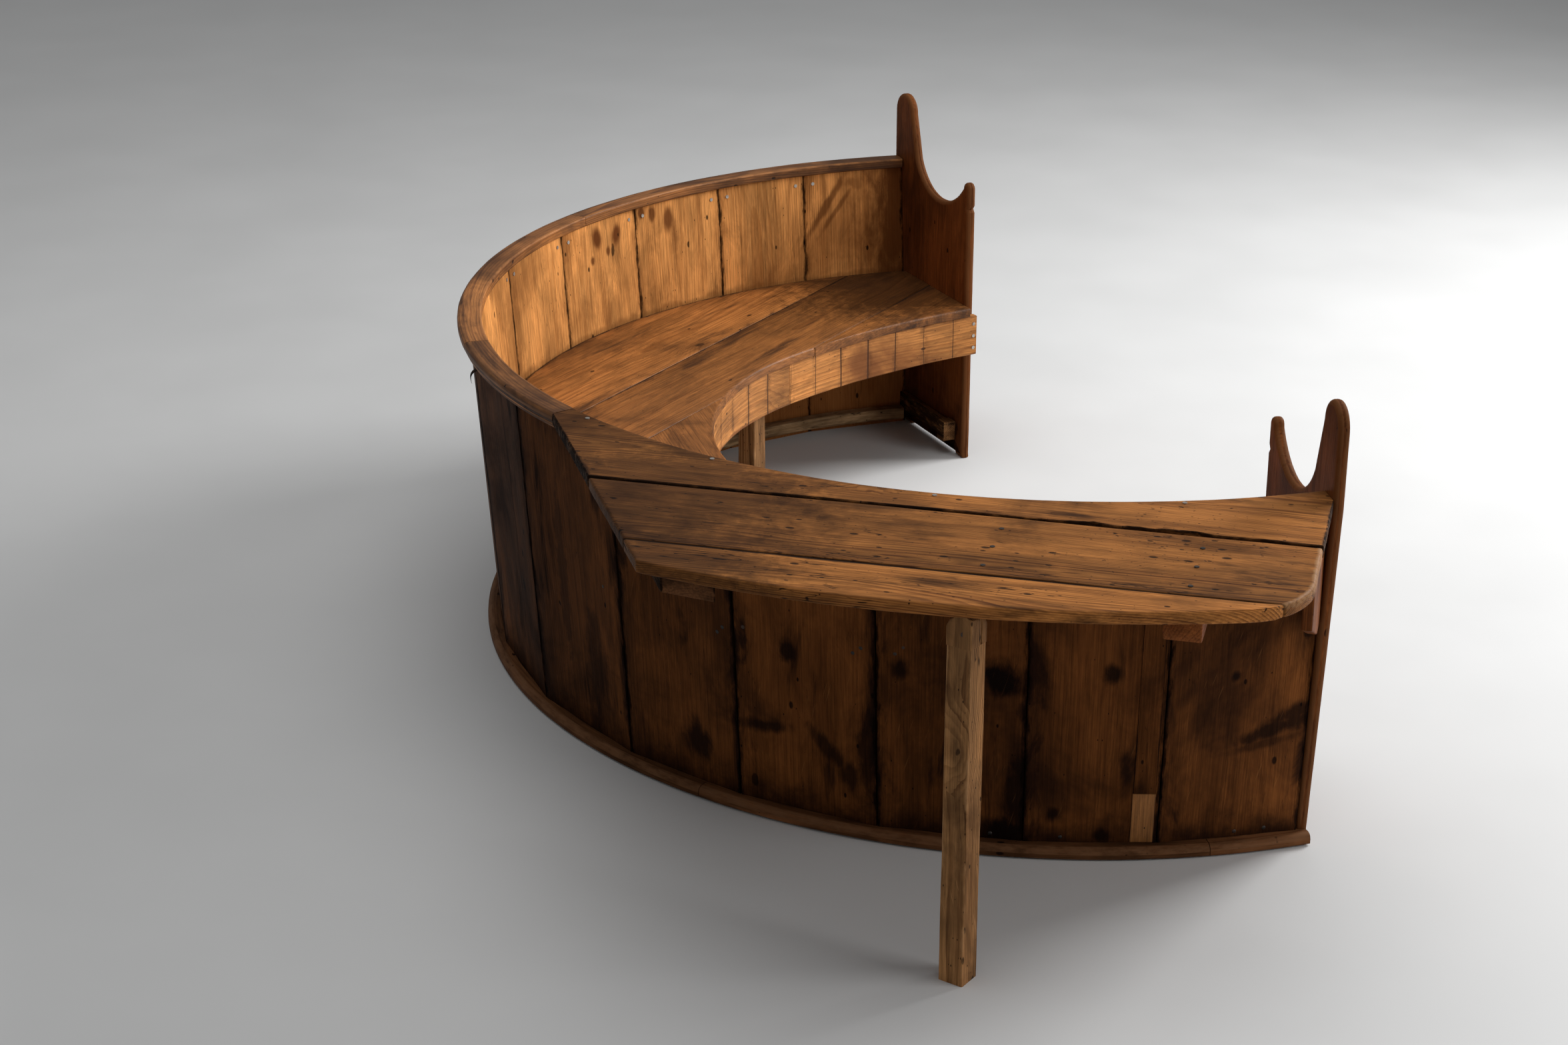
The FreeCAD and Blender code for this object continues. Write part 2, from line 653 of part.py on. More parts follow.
# Apron: a middle curve and a wider curve to each end panel
apron_level = Vector(0, 0, apron_foot)
apron_frame = turned(90.0 - apron_turn_angle, apron_level)
dim("apron_span", 2.0 * apron_turn_angle)
apron_middle = sector("apron_disc", "dims.apron_radius + dims.apron_thickness", "dims.apron_height",
                      "dims.apron_span", apron_frame)
apron_bore = sector("apron_bore", "dims.apron_radius", "dims.apron_height", "dims.apron_span",
                    apron_frame)
piece(cut(apron_middle, apron_bore), "apron_middle")
for side, name, outside in ((1, "near", outside_near), (-1, "far", outside_far)):
    frame = flank_frame(side, apron_level)
    wide = sector("flank", "dims.flank_radius + dims.apron_thickness", "dims.apron_height", "90", frame)
    bore = sector("flank_bore", "dims.flank_radius", "dims.apron_height", "90", frame)
    piece(cut(wide, bore, outside), "apron_" + name)
    post_out = apron_radius + apron_thickness + touch_clearance
    post_frame = turned(side * post_angle)
    post_frame = post_frame.multiply(Placement(Vector(-post_size / 2.0, post_out, 0), Rotation()))
    post = box("post", "dims.post_size", "dims.post_size", "dims.seat_underside", post_frame)
    piece(post, "seat_post_" + name)

# Table frame: X towards the far end of the leaf, Y outwards, square to the hinge line
table_turn = turned(leaf_angle)


def in_table(x, y, z):
    """Placement at a point of the table's frame."""
    return table_turn.multiply(Placement(Vector(x, y, z), Rotation()))


table_far_edge = cap_outer_radius * math.cos(math.radians(cap_end_angle))
past_far_edge = doc.addObject("Part::Box", "past_far_edge")
past_far_edge.Length = 2.0 * trim_reach
past_far_edge.Width = trim_reach
past_far_edge.Height = trim_reach
past_far_edge.Placement = Placement(Vector(-trim_reach, table_far_edge, -trim_reach / 2.0), Rotation())

# Fixed board on top of the staves, from the end of the cap to the near panel
over_cap = doc.addObject("Part::Box", "over_cap")
over_cap.Length = trim_reach
over_cap.Width = 2.0 * trim_reach
over_cap.Height = trim_reach
over_cap.Placement = turned(cap_end_angle).multiply(
    Placement(Vector(0, -trim_reach, -trim_reach / 2.0), Rotation()))
fixed = box("fixed_blank", "dims.leaf_near_end + dims.leaf_radius",
            "dims.hinge_distance - dims.hinge_gap / 2", "dims.top_thickness",
            in_table(-leaf_near_end, 0.0, table_underside))
inner_edge = sector("fixed_inner_edge", "dims.cap_inner_radius", "dims.top_thickness", "360",
                    Placement(Vector(0, 0, table_underside), Rotation()))
piece(cut(fixed, inner_edge, past_far_edge, over_cap, past_near), "table_fixed_board")

# Drop leaf: one round-edged blank, sawn into a middle and an outer board
leaf_start = hinge_distance + hinge_gap / 2.0
leaf_blank = box("leaf_blank", "dims.leaf_near_end + dims.leaf_radius", "dims.leaf_radius",
                 "dims.top_thickness", in_table(-leaf_near_end, leaf_start, table_underside))
leaf_disc = sector("leaf_disc", "dims.leaf_radius", "dims.top_thickness", "360",
                   Placement(Vector(0, 0, table_underside), Rotation()))
leaf_plain = cut(common(leaf_blank, leaf_disc), past_far_edge)
doc.recompute()


def upright_edge(solid, point):
    """Number of the upright edge nearest to a plan point."""
    uprights = []
    for number, edge in enumerate(solid.Shape.Edges, 1):
        ends = [v.Point for v in edge.Vertexes]
        if len(ends) == 2 and (ends[0] - ends[1]).cross(Vector(0, 0, 1)).Length < 1e-6:
            uprights.append(((ends[0] - point).cross(Vector(0, 0, 1)).Length, number))
    return min(uprights)[1]


near_corner = in_table(-leaf_near_end, math.sqrt(leaf_radius ** 2 - leaf_near_end ** 2), 0.0).Base
far_corner = Vector(-math.sqrt(leaf_radius ** 2 - table_far_edge ** 2), table_far_edge, 0.0)
leaf_rounded = doc.addObject("Part::Fillet", "leaf_rounded")
leaf_rounded.Base = leaf_plain
leaf_rounded.Edges = [
    (upright_edge(leaf_plain, near_corner), leaf_corner_radius, leaf_corner_radius),
    (upright_edge(leaf_plain, far_corner), leaf_tip_radius, leaf_tip_radius),
]
middle_strip = box("middle_strip", "2 * dims.leaf_radius", "dims.leaf_seam - dims.leaf_seam_gap / 2",
                   "dims.top_thickness", in_table(-leaf_radius, 0.0, table_underside))
outer_strip = box("outer_strip", "2 * dims.leaf_radius", "dims.leaf_radius", "dims.top_thickness",
                  in_table(-leaf_radius, leaf_seam + leaf_seam_gap / 2.0, table_underside))
piece(common(leaf_rounded, middle_strip), "leaf_middle_board")
piece(common(leaf_rounded, outer_strip), "leaf_outer_board")

# Cleats under the leaf: one square to the hinge line, one along the leaf's far end
cleat_start = leaf_start + cleat_inset
cleat_side = cleat_offset + cleat_width / 2.0
cleat_end = math.sqrt(leaf_radius ** 2 - cleat_side ** 2) - cleat_inset
dim("cleat_length", cleat_end - cleat_start)
cleat_frame = in_table(-cleat_side, cleat_start, table_underside)
cleat_frame = cleat_frame.multiply(Placement(Vector(), Rotation(Vector(1, 0, 0), -90.0)))
cleat = add("Part::Wedge", "cleat", cleat_frame,
            Xmin="0", Xmax="dims.cleat_width", X2min="0", X2max="dims.cleat_width",
            Ymin="0", Ymax="dims.cleat_thickness",
            Zmin="0", Zmax="dims.cleat_length", Z2min="0", Z2max="dims.cleat_length - dims.cleat_bevel")
piece(cleat, "leaf_cleat_near")
slant_high = table_far_edge - slant_cleat_inset
cleat_foot = table_underside - cleat_thickness
slant_low = slant_high - slant_cleat_width
slant_frame = Placement(Vector(-leaf_radius, slant_low, cleat_foot), Rotation())
slant = box("slant_cleat", "dims.leaf_radius", "dims.slant_cleat_width", "dims.cleat_thickness",
            slant_frame)
slant_rim = sector("slant_rim", "dims.leaf_radius - dims.cleat_inset", "dims.cleat_thickness", "360",
                   Placement(Vector(0, 0, cleat_foot), Rotation()))
before_leaf = box("before_leaf", "2 * dims.leaf_radius", "dims.leaf_radius", "dims.table_height",
                  in_table(-leaf_radius, cleat_start - leaf_radius, 0.0))
piece(cut(common(slant, slant_rim), before_leaf), "leaf_cleat_far")

# Bracket under the near end of the fixed board, against the last stave
behind_stave = stave(stave_count - 1, "dims.panel_width")
bracket_reach = dim("bracket_reach", hinge_distance - hinge_gap / 2.0 - bracket_setback)
bracket_frame = in_table(-leaf_near_end + bracket_setback / 2.0, 0.0, table_underside - bracket_height)
bracket = box("bracket", "dims.bracket_thickness", "dims.bracket_reach", "dims.bracket_height",
              bracket_frame)
slope_frame = in_table(-leaf_near_end, bracket_reach, table_underside - bracket_nose)
slope_frame = slope_frame.multiply(Placement(Vector(), Rotation(Vector(1, 0, 0), bracket_slope)))
slope_frame = slope_frame.multiply(Placement(Vector(0, -trim_reach, -trim_reach), Rotation()))
under_nose = doc.addObject("Part::Box", "under_nose")
under_nose.Length = trim_reach
under_nose.Width = 2.0 * trim_reach
under_nose.Height = trim_reach
under_nose.Placement = slope_frame
piece(cut(bracket, behind_stave, past_near, under_nose), "table_end_bracket")

# Hinges: straps on the undersides, knuckles round a pin that lies below the hinge gap
pin_height = table_underside - knuckle_radius - knuckle_clearance
lying = Rotation(Vector(0, 1, 0), 90.0)
frame_straps = []
leaf_straps = []
hinge_pins = []
strap_end = hinge_distance + knuckle_radius + side_clearance + leaf_strap
table_lean = math.radians(leaf_angle)
strap_corner = (slant_low - hinge_cleat_distance - strap_end * math.cos(table_lean)) / math.sin(table_lean)
hinge_places = (hinge_end_distance - leaf_near_end, strap_corner - hinge_width / 2.0)


def lying_rod(name, radius, length, x, distance, height):
    """Round bar along the hinge line, starting at a place on it."""
    frame = in_table(x, distance, height).multiply(Placement(Vector(), lying))
    return add("Part::Cylinder", name, frame, Radius=radius, Height=length)


for place in hinge_places:
    low = place - hinge_width / 2.0
    middle = place - knuckle_length / 2.0
    bore = lying_rod("hinge_bore", "dims.hinge_pin_radius + dims.fit_clearance", "dims.hinge_width",
                     low, hinge_distance, pin_height)
    level = table_underside - strap_thickness
    room = box("hinge_room", "dims.knuckle_length + 2 * dims.side_clearance", "4 * dims.knuckle_radius",
               "4 * dims.knuckle_radius",
               in_table(middle - side_clearance, hinge_distance - knuckle_radius - side_clearance,
                        pin_height - 2.0 * knuckle_radius))
    strap = box("frame_strap", "dims.hinge_width", "dims.frame_strap", "dims.strap_thickness",
                in_table(low, hinge_distance - frame_strap, level))
    barrel = lying_rod("frame_barrel", "dims.knuckle_radius", "dims.hinge_width", low, hinge_distance,
                       pin_height)
    frame_straps.append(cut(fuse(strap, barrel), room, bore))
    strap = box("leaf_strap", "dims.hinge_width", "dims.leaf_strap", "dims.strap_thickness",
                in_table(low, hinge_distance + knuckle_radius + side_clearance, level))
    tab = box("leaf_tab", "dims.knuckle_length", "2 * dims.knuckle_radius", "dims.strap_thickness",
              in_table(middle, hinge_distance, level))
    barrel = lying_rod("leaf_barrel", "dims.knuckle_radius", "dims.knuckle_length", middle,
                       hinge_distance, pin_height)
    leaf_straps.append(cut(fuse(strap, tab, barrel), bore))
    hinge_pins.append(lying_rod("hinge_pin", "dims.hinge_pin_radius", "dims.hinge_width", low,
                                hinge_distance, pin_height))
piece(group("frame_strap_pair", frame_straps), "hinge_frame_straps")
piece(group("leaf_strap_pair", leaf_straps), "hinge_leaf_straps")
piece(group("hinge_pin_pair", hinge_pins), "hinge_pins")

# Leg: a square post with a rounded top, slotted over the lug of a hanger that the leaf carries
pivot_height = table_underside - hanger_thickness - leg_top_clearance - leg_top_radius
dim("pivot_height", pivot_height)
across = Rotation(Vector(1, 0, 0), -90.0)
leg_axis = in_table(-leg_offset, leg_distance, 0.0)


def on_leg_axis(x, y, z):
    """Placement at a point of the leg's pivot frame: X along the hinge line, Y along the pivot."""
    return leg_axis.multiply(Placement(Vector(x, y, z), Rotation()))


def across_rod(name, radius, length, half):
    """Round bar along the pivot, of a length given by its half."""
    frame = leg_axis.multiply(Placement(Vector(0, -half, pivot_height), across))
    return add("Part::Cylinder", name, frame, Radius=radius, Height=length)


def leg_block(name, height, low):
    """Length of the square post, turned about its own axis."""
    twist = leg_axis.multiply(Placement(Vector(0, 0, low), Rotation(Vector(0, 0, 1), -leg_twist)))
    frame = twist.multiply(Placement(Vector(-leg_size / 2.0, -leg_size / 2.0, 0), Rotation()))
    return box(name, "dims.leg_size", "dims.leg_size", height, frame)


leg_post = leg_block("leg_post", "dims.pivot_height", 0.0)
leg_head = leg_block("leg_head", "dims.leg_top_radius", pivot_height)
leg_round = across_rod("leg_round", "dims.leg_top_radius", "2 * dims.leg_size", leg_size)
pivot_bore = across_rod("pivot_bore", "dims.pivot_radius + dims.fit_clearance", "2 * dims.leg_size",
                        leg_size)
slot_depth = lug_width / 2.0 + lug_clearance
slot_half = lug_thickness / 2.0 + side_clearance
leg_slot = box("leg_slot", "2 * dims.leg_size", "dims.lug_thickness + 2 * dims.side_clearance",
               "dims.leg_size + dims.leg_top_radius",
               on_leg_axis(-leg_size, -slot_half, pivot_height - slot_depth))
piece(cut(fuse(leg_post, common(leg_head, leg_round)), leg_slot, pivot_bore), "leg")
piece(across_rod("pivot", "dims.pivot_radius", "dims.pivot_span", pivot_span / 2.0), "leg_pivot_pin")

# Hanger of the leg: a plate under the leaf with a round-ended lug
hanger_low = table_underside - hanger_thickness
hanger_plate = box("hanger_plate", "dims.hanger_width", "dims.hanger_length", "dims.hanger_thickness",
                   on_leg_axis(-hanger_width / 2.0, -hanger_length / 2.0, hanger_low))
lug = box("lug", "dims.lug_width", "dims.lug_thickness", "dims.table_underside - dims.pivot_height",
          on_leg_axis(-lug_width / 2.0, -lug_thickness / 2.0, pivot_height))
lug_end = across_rod("lug_end", "dims.lug_width / 2", "dims.lug_thickness", lug_thickness / 2.0)
piece(cut(fuse(hanger_plate, lug, lug_end), pivot_bore), "leg_hanger")


def nail(point, outward):
    """Flat nail head standing on a face."""
    return Part.makeCylinder(nail_radius, nail_head, point + outward * (touch_clearance / 10.0), outward)


def nail_group(label, heads):
    """Nail heads of one body, as one node."""
    made = doc.addObject("Part::Feature", label)
    made.Shape = Part.makeCompound(heads)
    return piece(made, label)


# Nails through the staves into the cap, through the apron into the panels and down through the table
frame_heads = []
lean = Vector(0, back_top_radius - back_floor_radius, -table_underside).normalize()
for i in range(stave_count):
    frame = stave_frame(i)
    height = table_underside - nail_inset
    for side, half in zip((-1.0, 1.0), half_angles(i)):
        if half == stave_step:
            continue
        across_face = side * (inner_radius(height) * math.tan(math.radians(half)) - nail_inset)
        point = frame.multVec(Vector(across_face, height, inner_radius(height)))
        frame_heads.append(nail(point, frame.Rotation.multVec(lean)))
for side, frame in ((1, near_frame), (-1, far_frame)):
    centre = flank_centre(side)
    front = frame.multVec(Vector(panel_width, -side * panel_thickness / 2.0, 0)) - centre
    outward = Vector(-front.x, -front.y, 0).normalize()
    for share in apron_nail_shares:
        point = centre - outward * flank_radius + Vector(0, 0, apron_foot + share * apron_height)
        frame_heads.append(nail(point, outward))
board_turns = [leaf_angle + step * nail_spread_angle for step in (-1, 0, 1)]
for angle in [cap_end_angle + nail_edge_angle] + board_turns:
    point = on_circle(back_top_radius + board_thickness / 2.0, angle, table_height)
    frame_heads.append(nail(point, Vector(0, 0, 1)))
nail_group("frame_nails", frame_heads)
leaf_heads = []
for share in leaf_nail_shares:
    along = cleat_start + share * (leaf_seam - cleat_start)
    leaf_heads.append(nail(in_table(-cleat_offset, along, table_height).Base, Vector(0, 0, 1)))
    leaf_heads.append(nail(in_table(-leg_offset, along, table_height).Base, Vector(0, 0, 1)))
nail_group("leaf_nails", leaf_heads)

doc.recompute()
for made in doc.Objects:
    if "Invalid" in made.State or "Error" in made.State:
        raise RuntimeError("%s did not compute: %s" % (made.Name, made.State))
for made in pieces:
    if made.Shape.isNull() or not made.Shape.isValid() or not made.Shape.Solids:
        raise RuntimeError("%s has no valid solid" % made.Label)

os.makedirs("parts", exist_ok=True)
for made in pieces:
    made.Shape.exportStep("parts/%s.step" % made.Label)
print("%d sub-parts written" % len(pieces))
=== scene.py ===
import logging
import math
from dataclasses import dataclass, field, replace
from enum import Enum
from typing import Callable

import bpy
import numpy as np
from numpy.typing import NDArray
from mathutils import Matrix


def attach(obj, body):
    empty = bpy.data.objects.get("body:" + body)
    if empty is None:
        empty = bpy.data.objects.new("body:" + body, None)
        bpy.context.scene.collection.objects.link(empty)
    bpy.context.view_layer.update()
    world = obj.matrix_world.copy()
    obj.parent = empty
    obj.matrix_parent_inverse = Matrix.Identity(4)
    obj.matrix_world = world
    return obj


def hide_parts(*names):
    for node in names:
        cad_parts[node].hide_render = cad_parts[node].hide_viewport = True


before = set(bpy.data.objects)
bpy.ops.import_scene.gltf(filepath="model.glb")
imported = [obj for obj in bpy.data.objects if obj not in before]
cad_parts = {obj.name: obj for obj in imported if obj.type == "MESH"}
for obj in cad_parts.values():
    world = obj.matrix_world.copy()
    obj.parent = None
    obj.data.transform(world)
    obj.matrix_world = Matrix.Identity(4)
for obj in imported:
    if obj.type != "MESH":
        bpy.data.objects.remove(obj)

# Semicircular pine settle with a drop-leaf table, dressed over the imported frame.
# Metres, +Z up, origin on the floor at the centre of the back's circle, +Y to the closed end.
# Plan angles are in degrees from +Y, counted towards -X, where the near arm and the table are.

Array = NDArray[np.float64]
Colour = tuple[float, float, float]
log = logging.getLogger("settle")
CENTRE = np.zeros(2)
UP = np.array([0.0, 0.0, 1.0])
FLIP = np.array([-1.0, 1.0])
TOUCH = 0.0002
TABLE_TOP = 0.740
UNDERSIDE = 0.716
SEAT_TOP = 0.430
SEAT_UNDERSIDE = 0.406
FLOOR_RADIUS = 1.256
TOP_RADIUS = 1.303
TONGUE_LEVELS = (0.008, 0.013)
FACE_SWELL = 0.0005
RAIL_WORN = 0.010
OUTLINE_STEP = 0.012
PLATE_FADE = 0.007
SEAM_GAP = 0.0004
POST_WORN = 0.022
SPOT_RADIUS = 1.29
FAR_OFF = 9.0
QUARTER_TURN = np.radians(np.linspace(0.0, 90.0, 5))


class Body(Enum):
    """Bodies of the frame that pieces ride on."""

    FRAME = "settle_frame"
    LEAF = "table_leaf"
    LEG = "table_leg"


class Slot(Enum):
    """Material slots of the record."""

    BACK = "back_pine"
    SEAT = "seat_pine"
    TABLE = "table_pine"
    TRIM = "trim_pine"
    IRON = "iron"
    NAILS = "nail_steel"


# Plan geometry


def on_circle(radius: Array | float, angle: Array | float) -> Array:
    """Plan point at a radius and a plan angle: (-r sin a, r cos a)."""
    turn = np.radians(angle)
    return np.stack(np.broadcast_arrays(-radius * np.sin(turn), radius * np.cos(turn)), -1)


def plan_angle(point: Array, centre: Array = CENTRE) -> float:
    """Plan angle of a point seen from a centre."""
    away = point - centre
    return math.degrees(math.atan2(-away[0], away[1]))


def lifted(plan: Array, height: Array | float = 0.0) -> Array:
    """Plan points with their heights, as points in space."""
    return np.concatenate([plan, np.broadcast_to(height, plan.shape[:-1])[..., None]], -1)


def line_circle(start: Array, way: Array, radius: float, centre: Array = CENTRE) -> Array:
    """First point at which a straight line meets a circle: start + way (-h - sqrt(h^2 - g)).

    Args:
        start, way: a point of the line, and its unit direction.
        radius, centre: radius and centre of the circle.

    Returns:
        The meeting point, with h the offset from the centre along the way, and g the offset's square
        less the radius's.
    """
    offset = start - centre
    half = float(offset @ way)
    gap = float(offset @ offset) - radius ** 2
    return start - way * (half + math.sqrt(half * half - gap))


def line_line(start: Array, way: Array, normal: Array, distance: float) -> Array:
    """Point where a line meets the line whose points' product with a normal is a distance."""
    return start + way * ((distance - start @ normal) / (way @ normal))


@dataclass(frozen=True)
class Path:
    """Line in plan through points, read by its share of the length."""

    points: Array
    corners: tuple[int, ...] = ()

    def run(self) -> Array:
        """Distance along the line at each point: running sum of the steps."""
        return np.append(0.0, np.cumsum(np.linalg.norm(np.diff(self.points, axis=0), axis=1)))

    def shares(self) -> Array:
        """Share of the length at each point."""
        run = self.run()
        return run / run[-1]

    def at(self, share: Array) -> Array:
        """Points at shares of the length, by straight interpolation between the points."""
        return np.stack([np.interp(share, self.shares(), axis) for axis in self.points.T], -1)

    def then(self, other: "Path") -> "Path":
        """This line followed by another one, with a corner where they meet."""
        corners = tuple(len(self.points) - 1 + c for c in (0, *other.corners))
        return Path(np.concatenate([self.points, other.points[1:]]), self.corners + corners)

    def mirrored(self) -> "Path":
        """The same line on the other half of the settle."""
        return Path(self.points * FLIP, self.corners)


def straight(start: Array, stop: Array) -> Path:
    """Straight line between two plan points."""
    return Path(np.linspace(start, stop, 24))


def bow(radius: float, first: float, last: float, centre: Array = CENTRE) -> Path:
    """Arc about a centre between two plan angles."""
    return Path(centre + on_circle(radius, np.linspace(first, last, 160)))


def wander(run: Array, seed: int, reach: float) -> Array:
    """Uneven line between about -1 and 1: five sines of doubling pitch, falling strength and seeded phase.

    Args:
        run: distance along an edge, any shape.
        seed: chooses the line.
        reach: length of its longest wave.

    Returns:
        One value per distance.
    """
    rng = np.random.default_rng(seed)
    pitch = rng.uniform(0.7, 1.3, 5) * 2.0 ** np.arange(5)
    phase = rng.uniform(0.0, 2.0 * math.pi, 5)
    strength = 0.62 ** np.arange(5)
    waves = np.sin(run[..., None] * pitch * 2.0 * math.pi / reach + phase)
    return (waves * strength).sum(-1) / strength.sum() * 1.4


# Closed surfaces


@dataclass
class Shell:
    """One closed surface: rings of points, with the grain and wear that its finish reads."""

    points: Array
    grain: Array
    wear: Array

    def outward(self) -> "Shell":
        """Turns the rings so that the faces point outwards, by the sign of the volume.

        Returns:
            The shell, turned where its volume was negative.
        """
        p = self.points - self.points.mean((0, 1))
        q = np.roll(p, -1, 1)
        a, b, c, d = p[:-1], q[:-1], q[1:], p[1:]
        volume = (np.cross(a, b) * c).sum() + (np.cross(a, c) * d).sum()
        for ring, way in ((p[0], -1.0), (p[-1], 1.0)):
            volume += way * (np.cross(ring, np.roll(ring, -1, 0)) @ ring.mean(0)).sum()
        if volume >= 0.0:
            return self
        return Shell(self.points[:, ::-1], self.grain[:, ::-1], self.wear[:, ::-1])

    def faces(self, first: int) -> list[list[int]]:
        """Quads between neighbouring rings, and a face over each end ring.

        Args:
            first: number of the shell's first point.

        Returns:
            Point numbers of each face.
        """
        rings, around = self.points.shape[:2]
        number = first + np.arange(rings * around).reshape(rings, around)
        turned = np.roll(number, -1, 1)
        quads = np.stack([number[:-1], turned[:-1], turned[1:], number[1:]], -1).reshape(-1, 4)
        return quads.tolist() + [number[0, ::-1].tolist(), number[-1].tolist()]


def metal_shell(points: Array) -> Shell:
    """Shell without grain or wear."""
    return Shell(points, np.zeros_like(points), np.zeros_like(points))


@dataclass(frozen=True)
class Figure:
    """Where a board was cut from its tree: offsets that its grain starts from, and its own tone."""

    seed: int

    def grain(self, along: Array, across: Array, through: Array) -> Array:
        """Grain coordinates of points, moved by this board's own offsets.

        Args:
            along, across, through: distances along the fibres, over the width and into the thickness.

        Returns:
            Coordinates with a last axis of three.
        """
        rng = np.random.default_rng(1000 + self.seed)
        start = [rng.uniform(0.0, 40.0), rng.uniform(-0.09, 0.09), rng.uniform(0.02, 0.09)]
        return np.stack(np.broadcast_arrays(along, across, through), -1) + np.array(start)

    def wear(self, edge: Array, outer: Array | float) -> Array:
        """Edge value, share of the outer face, and how dark the board is from 0 to 1."""
        tone = float(np.random.default_rng(2000 + self.seed).uniform())
        return np.stack(np.broadcast_arrays(edge, outer, tone), -1)


@dataclass(frozen=True)
class Section:
    """Outline of a board's cross-section, point by point round it.

    Fields:
        share, inset: share of the width at which a point starts, and its distance inwards from there.
        level, rise: 0 on the low face and 1 on the high one, and the point's distance from that face.
        edge: 1 on the roundings.
        support: distance from an edge at which its wear has ended.
        step: share of the width between two points of a face.
    """

    share: Array
    inset: Array
    level: Array
    rise: Array
    edge: Array
    support: float
    step: float

    def at_ends(self) -> Array:
        """Mask of the points that start at one of the two edges."""
        return (self.share == 0.0) | (self.share == 1.0)


def board_section(
    radii: tuple[float, float, float, float],
    gap: float = 0.0,
    support: float = 0.014,
    across: int = 7,
    tongue: float = 0.0,
) -> Section:
    """Rectangle with rounded corners: quarter circles joined by its sides.

    A corner point at a turn a has inset r (1 - cos a) and rise r (1 - sin a).

    Args:
        radii: corner radii, front low, back low, back high, front high.
        gap: how far the front and the back edge stay inside their lines.
        support: distance from an edge at which its rounding and wear have ended.
        across: points over the width of each face.
        tongue: how far a tongue reaches past the back edge, or nothing.

    Returns:
        The section.
    """
    rows: list[Array] = []

    def corner(side: float, level: float, radius: float, inward: bool) -> None:
        """Adds a quarter circle, from the side to the face or back."""
        inset, rise = radius * (1.0 - np.cos(QUARTER_TURN)) + gap, radius * (1.0 - np.sin(QUARTER_TURN))
        here = np.stack(np.broadcast_arrays(side, inset, level, rise, 1.0), -1)
        rows.append(here if inward else here[::-1])

    def face(level: float, back_first: bool) -> None:
        """Adds the points over a face."""
        share = np.linspace(0.0, 1.0, across + 2)
        inset = np.where((share == 0.0) | (share == 1.0), support, 0.0)
        here = np.stack(np.broadcast_arrays(share, inset, level, 0.0, 0.0), -1)
        rows.append(here[::-1] if back_first else here)

    corner(0.0, 0.0, radii[0], True)
    face(0.0, False)
    corner(1.0, 0.0, radii[1], False)
    if tongue > 0.0:
        low, high = TONGUE_LEVELS
        places = ((gap, low), (-tongue, low), (-tongue, high), (gap, high))
        rows.append(np.array([(1.0, inset, 0.0, rise, 1.0) for inset, rise in places]))
    corner(1.0, 1.0, radii[2], True)
    face(1.0, True)
    corner(0.0, 1.0, radii[3], False)
    return Section(*np.concatenate(rows).T, support, 1.0 / (across + 1))


def eased_run(length: float, ease: float, count: int, corners: Array) -> tuple[Array, Array]:
    """Places of the rings along a board, and how far each ring shrinks to round the board's ends.

    A ring at a distance d from an end, within the ease r, shrinks by r - sqrt(r^2 - (r - d)^2).

    Args:
        length, ease: length of the board, and radius of its ends' rounding.
        count: rings along the plain length.
        corners: shares at which a ring is needed.

    Returns:
        Shares of the length, and the shrinkage at each.
    """
    near = np.array([0.0, 0.12, 0.4, 1.0]) * ease / length
    plain = np.linspace(near[-1], 1.0 - near[-1], count)
    share = np.unique(np.concatenate([plain, near, 1.0 - near, corners]))
    depth = np.minimum(share, 1.0 - share) * length
    short = np.clip(ease - depth, 0.0, ease)
    return share, ease - np.sqrt(ease ** 2 - short ** 2)


